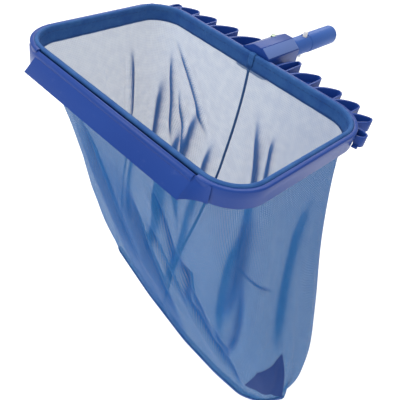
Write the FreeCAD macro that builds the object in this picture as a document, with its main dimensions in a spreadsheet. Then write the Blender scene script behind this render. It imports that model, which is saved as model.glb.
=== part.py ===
import FreeCAD, Part
import math
import os
import Sketcher
from FreeCAD import Placement, Rotation, Vector

# Leaf skimmer net: a moulded hoop with a scoop blade and two scalloped back combs, a mesh bag
# whose hem is folded over a rod, and a handle with a pole spigot and two sprung buttons.
# Frame, in millimetres: the origin is on the pole axis at the middle of the spigot's bearing land,
# +Y leaves the spigot's free end, +Z leaves the net's mouth and +X is along the long side.

DRIVING = [
    ("mouth_length", 355, "clear opening along X, inside the hem"),
    ("mouth_width", 230, "clear opening along Y, inside the hem"),
    ("mouth_corner", 41, "corner radius of the clear opening"),
    ("hem_tape", 1.6, "thickness of the folded hem tape"),
    ("hem_fold", 6, "width of the fold over the rod"),
    ("hem_depth", 23, "height of the hem's inner skirt"),
    ("hem_tail", 6, "height of the tape's tucked-down outer tail"),
    ("rod_diameter", 2.6, "hem rod"),
    ("fit_gap", 0.1, "gap between parts pushed together"),
    ("hoop_reach", 11.5, "from the clear opening to the hoop's outer face"),
    ("hoop_drop", 2, "hoop top below the hem's top"),
    ("band_height", 8, "height of the hoop's thick upper band"),
    ("hoop_depth", 25, "hoop's lower edge below the hem's top"),
    ("wall_inner", 2.6, "hoop's inner wall"),
    ("wall_outer", 2.2, "hoop's outer wall, below the band"),
    ("wall_step", 0.6, "step from the band in to the outer wall"),
    ("web_thickness", 2.5, "hoop's horizontal web"),
    ("band_round", 2, "rounding of the band's outer top edge"),
    ("slot_width", 3.0, "groove between the hem and the scoop's ridge"),
    ("front_wall", 2.5, "hoop's wall behind the scoop blade"),
    ("blade_reach", 21.5, "from the blade's back face to its tip"),
    ("blade_wall", 2.5, "thickness of the blade and its flange"),
    ("ridge_width", 8.6, "width of the ridge along the top of the blade"),
    ("ridge_rise", 2.2, "how far the ridge stands out of the blade"),
    ("blade_rib", 2, "thickness of the ribs behind the blade"),
    ("blade_end", 22, "length of each rounded end that runs into the hoop's corner"),
    ("comb_reach", 50, "from the hoop to the combs' outer edge, beside the handle"),
    ("comb_fall", 0.18, "how much the combs' edge falls back per unit along X"),
    ("comb_plate", 2.5, "thickness of the combs' floor"),
    ("petal_radius", 9, "outer radius of a petal's tip"),
    ("petal_sweep", 26, "how far a petal's root trails behind its tip"),
    ("petal_slot", 3, "width of the opening beside a petal's return wall"),
    ("petal_wall", 2, "thickness of the petal walls"),
    ("petal_height", 14, "height of the petal walls, with the floor"),
    ("petal_lift", 3, "combs' floor above the hoop's lower edge"),
    ("petal_proud", 7, "how far a petal stands out of the combs' edge"),
    ("land_length", 64, "spigot's bearing land, from the buttons to the end rounding"),
    ("land_radius", 14, "spigot's bearing land"),
    ("shank_length", 51, "spigot between the housing and the land"),
    ("shank_radius", 13.4, "spigot between the housing and the land"),
    ("root_length", 58, "spigot inside the housing"),
    ("root_radius", 12.5, "spigot inside the housing"),
    ("bore_radius", 10.6, "spigot's bore"),
    ("end_round", 3, "rounding of the spigot's free end"),
    ("housing_length", 70, "housing along the pole axis"),
    ("housing_over", 4.5, "how far the housing reaches over the hoop"),
    ("housing_half", 23, "half the housing's width"),
    ("ridge_half", 7, "half the flat along the top of the housing"),
    ("housing_top", 23, "top of the housing above the pole axis"),
    ("rim_above", 13, "hem's top above the pole axis"),
    ("split_below", 6, "split between cover and neck, below the pole axis"),
    ("wing_half", 27, "half the width of the neck's plate"),
    ("wing_beyond", 5, "how far the neck's plate runs past the housing"),
    ("wing_under", 9, "how far the neck's plate runs under the hoop"),
    ("wing_thickness", 2.5, "thickness of the neck's plate"),
    ("label_thickness", 0.8, "blank plate on the housing's slope"),
    ("button_radius", 3.25, "spring button"),
    ("button_proud", 7, "how far a button stands out of the shank"),
    ("button_set", 7, "button's centre from the land"),
    ("button_flange", 4.6, "radius of the button's inner flange"),
    ("strip_width", 9, "width of the V spring's strip"),
    ("strip_thickness", 0.8, "thickness of the V spring's strip"),
    ("spring_reach", 54, "from the buttons to the V spring's bend"),
    ("bend_radius", 4, "outer radius of the V spring's bend"),
    ("leg_at_button", 8.4, "outer face of a spring leg at its button, from the pole axis"),
    ("leg_gap", 0.4, "gap between the bend and a leg"),
    ("bolt_radius", 2, "clamp bolt's shank"),
    ("bolt_offset", 17.2, "clamp bolt's distance from the pole axis"),
    ("bolt_back", 12, "clamp bolt's distance from the housing's end"),
    ("screw_radius", 1.5, "self-tapping screw's shank"),
    ("screw_head", 2.9, "self-tapping screw's head radius"),
    ("screw_cap", 1.8, "self-tapping screw's head height"),
    ("boss_wall", 0.8, "wall of a screw boss under the hoop"),
    ("pilot_depth", 9, "depth of a screw's pilot hole in the housing"),
    ("screw_inset", 16, "front cover screws' distance from the housing's front"),
    ("sink_depth", 2, "depth of the screw heads' seats under the neck"),
    ("edge_round", 1.2, "rounding of the housing's long edges"),
    ("wing_round", 5, "rounding of the neck plate's corners"),
    ("keel_depth", 5, "keel below the neck's plate"),
    ("seat_depth", 2.2, "bolt's seat below the housing's slope"),
    ("washer_thickness", 0.8, "clamp bolt's washer"),
    ("head_height", 3, "clamp bolt's head"),
    ("nut_height", 2.2, "clamp bolt's nut"),
    ("pocket_depth", 2.4, "nut's pocket in the neck"),
    ("label_margin", 1.2, "label plate's distance from the slope's edges"),
    ("net_wall", 1.5, "thickness that stands for the mesh"),
    ("bag_lean", 0.215, "how far the bag's left side stays behind per unit of depth"),
    ("bag_depth", 475, "from the hem's top to the bag's lowest point"),
    ("toe_half", 4, "half the thickness of the bag's sewn toe"),
    ("seam_width", 7, "centre-back seam tape"),
    ("seam_thickness", 0.8, "centre-back seam tape"),
]

doc = FreeCAD.newDocument("LeafSkimmer")
sheet = doc.addObject("Spreadsheet::Sheet", "dims")
for row, (alias, number, note) in enumerate(DRIVING, start=1):
    sheet.set(f"A{row}", note)
    sheet.set(f"B{row}", str(number))
    sheet.setAlias(f"B{row}", alias)
doc.recompute()


class Size:
    """A length that knows its number and the expression that gives it from the sheet."""

    def __init__(self, value, text):
        self.value = value
        self.text = text

    @staticmethod
    def of(other):
        return other if isinstance(other, Size) else Size(float(other), repr(float(other)))

    def __add__(self, other):
        other = Size.of(other)
        return Size(self.value + other.value, f"({self.text} + {other.text})")

    def __sub__(self, other):
        other = Size.of(other)
        return Size(self.value - other.value, f"({self.text} - {other.text})")

    def __mul__(self, other):
        other = Size.of(other)
        return Size(self.value * other.value, f"({self.text} * {other.text})")

    def __truediv__(self, other):
        other = Size.of(other)
        return Size(self.value / other.value, f"({self.text} / {other.text})")

    def __radd__(self, other):
        return Size.of(other) + self

    def __rsub__(self, other):
        return Size.of(other) - self

    def __rmul__(self, other):
        return Size.of(other) * self

    def __neg__(self):
        return Size(-self.value, f"(0 - {self.text})")


class Sizes:
    """The sheet's cells as Size values, read by their alias."""

    def __getattr__(self, alias):
        return Size(float(sheet.get(alias)), f"{sheet.Name}.{alias}")


D = Sizes()

# Places that several parts share.
shoulder_y = -D.land_length / 2 - D.shank_length
housing_front_y = shoulder_y - D.housing_length
hoop_back_y = housing_front_y + D.housing_over
mouth_y = hoop_back_y - D.hoop_reach - D.mouth_width / 2
button_y = -D.land_length / 2 - D.button_set
bend_y = button_y + D.spring_reach
rim_z = D.rim_above
hoop_top = rim_z - D.hoop_drop
web_top = hoop_top - D.band_height
hoop_bottom = rim_z - D.hoop_depth
corner_x = D.mouth_length / 2 - D.mouth_corner
corner_back_y = mouth_y + D.mouth_width / 2 - D.mouth_corner
corner_front_y = mouth_y - D.mouth_width / 2 + D.mouth_corner
front_edge_y = mouth_y - D.mouth_width / 2
channel_in = D.hem_tape + D.fit_gap
channel_out = channel_in + D.wall_inner
blade_back = D.hem_fold + D.slot_width
comb_floor = hoop_bottom + D.petal_lift

NODES = {}


def keep(node, feature):
    """Record a finished feature as a node and give it the node's name as its Label."""
    feature.Label = node
    NODES[node] = feature
    return feature


def bind(feature, **sizes):
    """Tie properties to the sheet; a double underscore stands for a dot."""
    for name, size in sizes.items():
        feature.setExpression(name.replace("__", "."), Size.of(size).text)
    return feature


def put(feature, place):
    bind(feature, Placement__Base__x=place[0], Placement__Base__y=place[1], Placement__Base__z=place[2])
    return feature


def turn(feature, axis, degrees):
    feature.Placement = Placement(Vector(0, 0, 0), Rotation(Vector(*axis), degrees))
    return feature


def box(name, low, high):
    """A box from its low corner to its high corner, each three sizes."""
    made = doc.addObject("Part::Box", name)
    bind(made, Length=high[0] - low[0], Width=high[1] - low[1], Height=high[2] - low[2])
    return put(made, low)


def rod(name, radius, length, place, axis="z", angle=360):
    """A cylinder or a sector of one that starts at a place and runs along a positive axis."""
    made = doc.addObject("Part::Cylinder", name)
    bind(made, Radius=radius, Height=length)
    made.Angle = angle
    spin = {"z": ((0, 0, 1), 0), "y": ((1, 0, 0), -90), "x": ((0, 1, 0), 90)}[axis]
    return put(turn(made, *spin), place)


def fuse(name, parts):
    made = doc.addObject("Part::MultiFuse", name)
    made.Shapes = parts
    made.Refine = True
    return made


def cut(name, base, tools):
    made = doc.addObject("Part::Cut", name)
    made.Base = base
    made.Tool = tools[0] if len(tools) == 1 else fuse(name + "_tools", tools)
    return made


def common(name, base, tool):
    made = doc.addObject("Part::Common", name)
    made.Base = base
    made.Tool = tool
    return made


def mirrored(name, source):
    """The mirror image of a feature across the YZ plane."""
    made = doc.addObject("Part::Mirroring", name)
    made.Source = source
    made.Normal = Vector(1, 0, 0)
    return made


def new_sketch(body, plane, start):
    """A sketch on one of a body's origin planes, moved along the plane's normal to a start."""
    sketch = body.newObject("Sketcher::SketchObject", body.Name + "_sketch")
    support = next(f for f in body.Origin.OriginFeatures if f.Role == plane)
    sketch.AttachmentSupport = (support, [""])
    sketch.MapMode = "FlatFace"
    bind(sketch, AttachmentOffset__Base__z=start)
    return sketch


def fix_point(sketch, edge, end, across, up):
    for kind, size in (("DistanceX", Size.of(across)), ("DistanceY", Size.of(up))):
        number = sketch.addConstraint(Sketcher.Constraint(kind, -1, 1, edge, end, size.value))
        sketch.setExpression(f"Constraints[{number}]", size.text)


def outline(sketch, corners):
    """A closed outline; a corner with four sizes is reached by an arc through its last two."""
    points = [tuple(Size.of(v) for v in corner) for corner in corners]
    for here, there in zip(points, points[1:] + points[:1]):
        start = Vector(here[0].value, here[1].value, 0)
        finish = Vector(there[0].value, there[1].value, 0)
        if len(there) == 4:
            middle = Vector(there[2].value, there[3].value, 0)
            circle = Part.Arc(start, middle, finish).toShape().Curve
            clockwise = (middle - start).cross(finish - start).z < 0
            first, last = (finish, start) if clockwise else (start, finish)
            angles = [math.atan2(p.y - circle.Center.y, p.x - circle.Center.x) for p in (first, last)]
            if angles[1] < angles[0]:
                angles[1] += 2 * math.pi
            plain = Part.Circle(circle.Center, Vector(0, 0, 1), circle.Radius)
            edge = sketch.addGeometry(Part.ArcOfCircle(plain, angles[0], angles[1]), False)
            fix_point(sketch, edge, 2 if clockwise else 1, here[0], here[1])
            fix_point(sketch, edge, 1 if clockwise else 2, there[0], there[1])
            through = sketch.addGeometry(Part.Point(middle), True)
            fix_point(sketch, through, 1, there[2], there[3])
            sketch.addConstraint(Sketcher.Constraint("PointOnObject", through, 1, edge))
        else:
            edge = sketch.addGeometry(Part.LineSegment(start, finish), False)
            fix_point(sketch, edge, 1, here[0], here[1])
            fix_point(sketch, edge, 2, there[0], there[1])


def rounded_loop(sketch, half_x, half_y, radius, centre_y):
    """A rounded rectangle about the middle of the mouth, drawn with lines and tangent arcs."""
    hx, hy, r, cy = half_x.value, half_y.value, radius.value, centre_y.value
    quarter = math.pi / 2
    first = sketch.GeometryCount
    centres = [(hx - r, cy + hy - r), (-hx + r, cy + hy - r), (-hx + r, cy - hy + r), (hx - r, cy - hy + r)]
    for n, (x, y) in enumerate(centres):
        arc = Part.ArcOfCircle(Part.Circle(Vector(x, y, 0), Vector(0, 0, 1), r), n * quarter, (n + 1) * quarter)
        sketch.addGeometry(arc, False)
    for n in range(4):
        start = sketch.getPoint(first + n, 2)
        finish = sketch.getPoint(first + (n + 1) % 4, 1)
        sketch.addGeometry(Part.LineSegment(start, finish), False)
    sizes = [half_x - radius, half_y - radius]
    for n, (sx, sy) in enumerate([(1, 1), (-1, 1), (-1, -1), (1, -1)]):
        arc = first + n
        fix_point(sketch, arc, 3, sizes[0] * sx, centre_y + sizes[1] * sy)
        number = sketch.addConstraint(Sketcher.Constraint("Radius", arc, r))
        sketch.setExpression(f"Constraints[{number}]", radius.text)
        line = first + 4 + n
        sketch.addConstraint(Sketcher.Constraint("Tangent", line, 1, arc, 2))
        sketch.addConstraint(Sketcher.Constraint("Tangent", line, 2, first + (n + 1) % 4, 1))


def pad(body, sketch, length):
    made = body.newObject("PartDesign::Pad", body.Name + "_pad")
    made.Profile = sketch
    bind(made, Length=length)
    return made


def new_body(name):
    return doc.addObject("PartDesign::Body", name)


def prism(name, plane, start, length, corners):
    """A body that pads one outline from a plane of its origin."""
    body = new_body(name)
    sketch = new_sketch(body, plane, start)
    outline(sketch, corners)
    pad(body, sketch, length)
    return body


def ring_layer(body, inner, outer, low, high):
    """A level ring round the mouth, between two offsets from the clear opening."""
    sketch = new_sketch(body, "XY_Plane", low)
    for offset in (inner, outer):
        offset = Size.of(offset)
        half_x = D.mouth_length / 2 + offset
        half_y = D.mouth_width / 2 + offset
        rounded_loop(sketch, half_x, half_y, D.mouth_corner + offset, mouth_y)
    return pad(body, sketch, high - low)


def round_edges(body, radius, test):
    """Round the edges of a body's last feature that pass a test."""
    doc.recompute()
    base = body.Tip
    chosen = [f"Edge{n}" for n, edge in enumerate(base.Shape.Edges, start=1) if test(edge.BoundBox)]
    made = body.newObject("PartDesign::Fillet", body.Name + "_fillet")
    made.Base = (base, chosen)
    bind(made, Radius=radius)
    return made


def level_at(height):
    return lambda bounds: abs(bounds.ZMin - height.value) < 1e-4 and abs(bounds.ZMax - height.value) < 1e-4


def screw_group(name, places, axis, head_first):
    """Identical self-tapping screws, each a head and a shank along one axis."""
    parts = []
    for n, (place, shank) in enumerate(places):
        step = {"x": 0, "y": 1, "z": 2}[axis]
        head_at = list(place)
        shank_at = list(place)
        if head_first:
            head_at[step] = Size.of(place[step]) - D.screw_cap
        else:
            shank_at[step] = Size.of(place[step]) - shank
        head = rod(f"{name}_head{n}", D.screw_head, D.screw_cap, head_at, axis)
        stem = rod(f"{name}_stem{n}", D.screw_radius, shank, shank_at, axis)
        parts.append(fuse(f"{name}_{n}", [head, stem]))
    made = doc.addObject("Part::Compound", name)
    made.Links = parts
    return keep(name, made)


# Shares of corner_x: the combs' straight petals, with a screw inside each of the first three
PETALS = [0.27, 0.56, 0.84, 1.07]
# The two petals round each rear corner: turned outwards by so many degrees, and their reach
CORNER_PETALS = [(30, 28), (62, 13.5)]
CORNER_SWEEP = 0.5
BLADE_RIBS = 7
comb_screw_x = [corner_x * share for share in PETALS[:3]]
comb_screw_z = comb_floor + D.petal_height * 0.5


def make_hem():
    hem = new_body("hem_body")
    ring_layer(hem, 0, D.hem_tape, rim_z - D.hem_depth, rim_z)
    ring_layer(hem, 0, D.hem_fold, rim_z - D.hem_tape, rim_z)
    ring_layer(hem, D.hem_fold - D.hem_tape, D.hem_fold, rim_z - D.hem_tail, rim_z)
    round_edges(hem, D.hem_tape * 0.85, level_at(rim_z))
    keep("net_hem", hem)
    radius = D.rod_diameter / 2
    offset = D.hem_fold / 2
    height = rim_z - D.hem_tape - D.fit_gap - radius
    across = D.mouth_length / 2 + offset
    along = D.mouth_width / 2 + offset
    turn_radius = D.mouth_corner + offset
    parts = []
    for side in (-1, 1):
        parts.append(rod("rod_side", radius, 2 * (corner_back_y - mouth_y),
                         (across * side, corner_front_y, height), "y"))
        parts.append(rod("rod_long", radius, 2 * corner_x, (-corner_x, mouth_y + along * side, height), "x"))
    for quarter, (x, y) in enumerate([(corner_x, corner_back_y), (-corner_x, corner_back_y),
                                      (-corner_x, corner_front_y), (corner_x, corner_front_y)]):
        bend = doc.addObject("Part::Torus", "rod_bend")
        bind(bend, Radius1=turn_radius, Radius2=radius)
        bend.Angle3 = 90
        parts.append(put(turn(bend, (0, 0, 1), 90 * quarter), (x, y, height)))
    keep("hem_rod", fuse("rod_fuse", parts))


def make_hoop():
    ring = new_body("hoop_body")
    ring_layer(ring, channel_in, channel_out, rim_z - D.hem_depth, rim_z - D.hem_tape - D.fit_gap * 2 - D.rod_diameter)
    ring_layer(ring, channel_in, D.hoop_reach, web_top - D.web_thickness, web_top)
    ring_layer(ring, D.hem_fold + D.fit_gap, D.hoop_reach, web_top, hoop_top)
    outer_face = D.hoop_reach - D.wall_step
    ring_layer(ring, outer_face - D.wall_outer, outer_face, hoop_bottom, web_top)
    outside = D.mouth_length / 2 + D.hem_fold + 2 * D.fit_gap
    round_edges(ring, D.band_round, lambda bounds: level_at(hoop_top)(bounds) and (
        bounds.XMax > outside.value + 1 or bounds.XMin < -outside.value - 1
        or bounds.YMax > (mouth_y + D.mouth_width / 2 + D.hem_fold).value + 1
        or bounds.YMin < (mouth_y - D.mouth_width / 2 - D.hem_fold).value - 1))
    margin = D.blade_reach
    band_front = box("front_band", (-corner_x, front_edge_y - margin, web_top),
                     (corner_x, front_edge_y - D.hem_fold - D.fit_gap, rim_z))
    wall_front = box("front_outside", (-corner_x, front_edge_y - margin, hoop_bottom - margin),
                     (corner_x, front_edge_y - blade_back + D.fit_gap, rim_z))
    opened = cut("hoop_opened", ring, [band_front, wall_front])
    back_of_wall = front_edge_y - blade_back + D.fit_gap
    front = box("front_wall_plate", (-corner_x, back_of_wall, hoop_bottom),
                (corner_x, back_of_wall + D.front_wall, web_top))
    boss_y = hoop_back_y - D.hoop_reach + (channel_out + D.hoop_reach - D.wall_step - D.wall_outer) / 2
    bosses = [rod("hoop_boss", D.screw_radius + D.boss_wall, web_top - D.web_thickness / 2 - hoop_bottom,
                  (x, boss_y, hoop_bottom)) for x in (-D.housing_half * 0.6, D.housing_half * 0.6)]
    solid = fuse("hoop_walls", [opened, front] + bosses)
    holes = [rod("boss_pilot", D.screw_radius, D.pilot_depth - 1, (x, boss_y, hoop_bottom))
             for x in (-D.housing_half * 0.6, D.housing_half * 0.6)]
    holes += [rod("blade_pilot", D.screw_radius, D.front_wall, (x, back_of_wall, blade_screw_z), "y")
              for x in blade_screw_x]
    holes += [rod("comb_pilot", D.screw_radius, D.wall_outer + D.wall_step * 2,
                  (x * side, hoop_back_y - D.wall_outer - D.wall_step * 2, comb_screw_z), "y")
              for side in (-1, 1) for x in comb_screw_x]
    keep("rim_hoop", cut("hoop_cut", solid, holes))
    screws = [((x, boss_y, hoop_bottom - D.wing_thickness), D.wing_thickness + 7)
              for x in (-D.housing_half * 0.6, D.housing_half * 0.6)]
    screw_group("hoop_screws", screws, "z", True)
    return boss_y


blade_half = corner_x - 2.5
blade_screw_x = [blade_half * step for step in (-0.86, -0.52, -0.17, 0.17, 0.52, 0.86)]
blade_screw_z = rim_z - D.hoop_depth * 0.72


def make_blade():
    face_y = front_edge_y - blade_back
    top_z = rim_z - 3.2
    slope = 0.7071
    ridge_y = face_y - D.ridge_width * slope
    ridge_z = top_z - D.ridge_width * slope
    crown_y = face_y - (D.ridge_width / 2 + D.ridge_rise) * slope
    crown_z = top_z - (D.ridge_width / 2 - D.ridge_rise) * slope
    tip_y = face_y - D.blade_reach
    tip_z = top_z - D.blade_reach
    thick = D.blade_wall * slope
    inner_z = tip_z - thick + (D.blade_reach - thick - D.blade_wall)
    corners = [
        (face_y, top_z),
        (ridge_y, ridge_z, crown_y, crown_z),
        (tip_y, tip_z),
        (tip_y + thick, tip_z - thick),
        (face_y - D.blade_wall, inner_z),
        (face_y - D.blade_wall, hoop_bottom),
        (face_y, hoop_bottom),
    ]
    core = prism("blade_core", "YZ_Plane", -blade_half, blade_half * 2, corners)
    ribs = []
    for n in range(BLADE_RIBS):
        x = blade_half * (-1 + 2 * n / (BLADE_RIBS - 1)) - D.blade_rib / 2
        shift = D.blade_rib / 2 if n == 0 else -D.blade_rib / 2 if n == BLADE_RIBS - 1 else Size.of(0)
        ribs.append(prism("blade_rib", "YZ_Plane", x + shift, D.blade_rib, [
            (face_y - D.blade_wall / 2, inner_z + D.blade_wall / 2),
            (tip_y + thick * 1.5, tip_z - thick * 0.5),
            (tip_y + thick * 1.5, hoop_bottom - thick),
            (face_y - D.blade_wall / 2, hoop_bottom),
        ]))
    ends = []
    for side in (-1, 1):
        reaches = [(0, D.blade_reach), (0.2, D.blade_reach * 0.66), (0.5, D.blade_reach * 0.34),
                   (1, D.blade_reach * 0.02)]
        body = new_body("blade_end_body")
        sketches = []
        for share, reach in reaches:
            across = blade_half + D.blade_end * share
            sketch = new_sketch(body, "YZ_Plane", across * side)
            outline(sketch, [
                (face_y + D.front_wall, top_z), (face_y, top_z),
                (face_y - reach, tip_z), (face_y + D.front_wall, tip_z - thick)])
            sketches.append(sketch)
        loft = body.newObject("PartDesign::AdditiveLoft", "blade_end_loft")
        loft.Profile = sketches[0]
        loft.Sections = sketches[1:]
        loft.Ruled = False
        outer = D.mouth_corner + D.hoop_reach
        drum = rod("corner_drum", outer, D.hoop_depth * 2, (corner_x * side, corner_front_y, hoop_bottom - 12))
        beside = box("corner_side", (corner_x * side - D.blade_reach * 2 * (side < 0), face_y - D.blade_reach,
                                     hoop_bottom - 12),
                     (corner_x * side + D.blade_reach * 2 * (side > 0), corner_front_y, rim_z + 12))
        behind = box("flange_side", (-blade_half * 1.5, face_y, hoop_bottom - 12),
                     (blade_half * 1.5, face_y + D.blade_reach, rim_z + 12))
        tools = [common("corner_cutter", drum, beside), behind]
        ends.append(cut("blade_end_cut", body, tools))
    solid = fuse("blade_solid", [core] + ribs + ends)
    holes = [rod("flange_hole", D.screw_radius, D.blade_wall * 1.5,
                 (x, face_y - D.blade_wall * 1.5, blade_screw_z), "y") for x in blade_screw_x]
    keep("scoop_blade", cut("blade_cut", solid, holes))
    shank = D.blade_wall + D.front_wall - D.fit_gap
    places = [((x, face_y - D.blade_wall, blade_screw_z), shank) for x in blade_screw_x]
    screw_group("blade_screws", places, "y", True)


def comb_edge(across):
    """Where the combs' straight outer edge lies at a distance along X."""
    return hoop_back_y + D.comb_reach - D.comb_fall * across


def petal(number, base_x, base_y, length, sweep, angle):
    """A wall that sweeps out to a rounded tip and returns, with its floor and the slot beside the return."""
    radius = D.petal_radius
    inside = radius - D.petal_wall
    level = D.comb_plate
    root = Size.of(0)

    def teardrop(name, low, thick, grow, back):
        lobe = radius + grow
        far = length + grow
        diagonal = lobe * 0.7071
        return prism(name, "XY_Plane", low, thick, [
            (-sweep + back, root),
            (root, far, -sweep * 0.6 + back * 0.6, length * 0.66 + grow * 0.7),
            (lobe, far - lobe, diagonal, far - lobe + diagonal),
            (lobe, root)])

    floor = teardrop(f"petal_floor{number}", root, level, root, root)
    outer = teardrop(f"petal_outer{number}", root, D.petal_height, root, root)
    hollow = teardrop(f"petal_hollow{number}", level, D.petal_height, -D.petal_wall, D.petal_wall * 2)
    wall = cut(f"petal_wall{number}", outer, [hollow])
    slot = box(f"petal_slot{number}", (inside - D.petal_slot, length * 0.3, -level),
               (inside, length - radius, level * 2))
    made = cut(f"petal_{number}", fuse(f"petal_solid{number}", [floor, wall]), [slot])
    made.Placement = Placement(Vector(0, 0, 0), Rotation(Vector(0, 0, 1), -angle))
    return put(made, (base_x, base_y, comb_floor))


def make_comb(name, side):
    """One comb; every petal's tip points to +X on both sides of the handle."""
    wall = hoop_back_y - D.wall_step
    first_x = D.wing_half + D.fit_gap
    last_x = corner_x * 1.18
    plate = prism(f"{name}_plate_body", "XY_Plane", comb_floor, D.comb_plate, [
        (x * side, y) for x, y in [
            (first_x, wall),
            (first_x, comb_edge(first_x)),
            (last_x, comb_edge(last_x)),
            (corner_x + D.mouth_corner * 1.22, corner_back_y + D.mouth_corner * 0.95),
            (corner_x + D.mouth_corner * 1.42, corner_back_y + D.mouth_corner * 0.35),
            (corner_x + D.mouth_corner * 0.9, corner_back_y + D.mouth_corner * 0.25),
            (corner_x, corner_back_y + D.mouth_corner),
            (corner_x, wall)]])
    flange = box(f"{name}_flange", (first_x - (first_x + corner_x) * (side < 0), wall, comb_floor),
                 (corner_x - (first_x + corner_x) * (side < 0), wall + D.comb_plate, web_top - D.web_thickness))
    parts = [plate, flange]
    base = wall + D.comb_plate / 2
    for number, share in enumerate(PETALS):
        across = corner_x * share
        length = comb_edge(across) + D.petal_proud - base
        room = across - first_x if number == 0 and side > 0 else D.petal_sweep
        parts.append(petal(f"{name}_{number}", across * side, base, length, room, 0))
    for number, (angle, reach) in enumerate(CORNER_PETALS, start=len(PETALS)):
        start = D.mouth_corner + D.hoop_reach - D.petal_wall
        sine, cosine = math.sin(math.radians(angle)), math.cos(math.radians(angle))
        base_x = (corner_x + start * sine) * side
        base_y = corner_back_y + start * cosine
        length = Size.of(reach) + D.petal_wall
        parts.append(petal(f"{name}_{number}", base_x, base_y, length, D.petal_sweep * CORNER_SWEEP, angle * side))
    holes = [rod(f"{name}_screw_hole", D.screw_radius, D.comb_plate, (x * side, wall, comb_screw_z), "y")
             for x in comb_screw_x]
    outer = D.mouth_corner + D.hoop_reach + 2 * D.fit_gap
    holes.append(rod(f"{name}_corner_drum", outer, D.hoop_depth * 2, (corner_x * side, corner_back_y,
                                                                      hoop_bottom - D.hoop_depth / 2)))
    beside = corner_x + outer
    holes.append(box(f"{name}_side_room", (-beside, mouth_y, hoop_bottom - D.hoop_depth / 2),
                     (beside, corner_back_y, rim_z + D.hoop_depth)))
    keep(name, cut(f"{name}_cut", fuse(f"{name}_solid", parts), holes))


def make_combs():
    make_comb("back_comb_right", 1)
    make_comb("back_comb_left", -1)
    head_y = hoop_back_y - D.wall_step + D.comb_plate
    places = [((x * side, head_y, comb_screw_z), D.comb_plate + D.wall_outer)
              for side in (-1, 1) for x in comb_screw_x]
    screw_group("comb_screws", places, "y", False)


def make_spigot():
    body = new_body("spigot_body")
    sketch = new_sketch(body, "XY_Plane", 0)
    end_y = D.land_length / 2 + D.end_round
    arc = D.end_round * 0.7071
    outline(sketch, [
        (D.bore_radius, shoulder_y - D.root_length),
        (D.root_radius, shoulder_y - D.root_length),
        (D.root_radius, shoulder_y),
        (D.shank_radius, shoulder_y),
        (D.shank_radius, -D.land_length / 2),
        (D.land_radius, -D.land_length / 2),
        (D.land_radius, D.land_length / 2),
        (D.land_radius - D.end_round, end_y, D.land_radius - D.end_round + arc, D.land_length / 2 + arc),
        (D.bore_radius, end_y),
    ])
    spin = body.newObject("PartDesign::Revolution", "spigot_turned")
    spin.Profile = sketch
    spin.ReferenceAxis = (sketch, ["V_Axis"])
    spin.Angle = 360
    hole = rod("button_holes", D.button_radius + 1.4, D.shank_radius * 4,
               (0, button_y - 0.9, -D.shank_radius * 2))
    keep("spigot_tube", cut("spigot_cut", body, [hole]))


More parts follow.
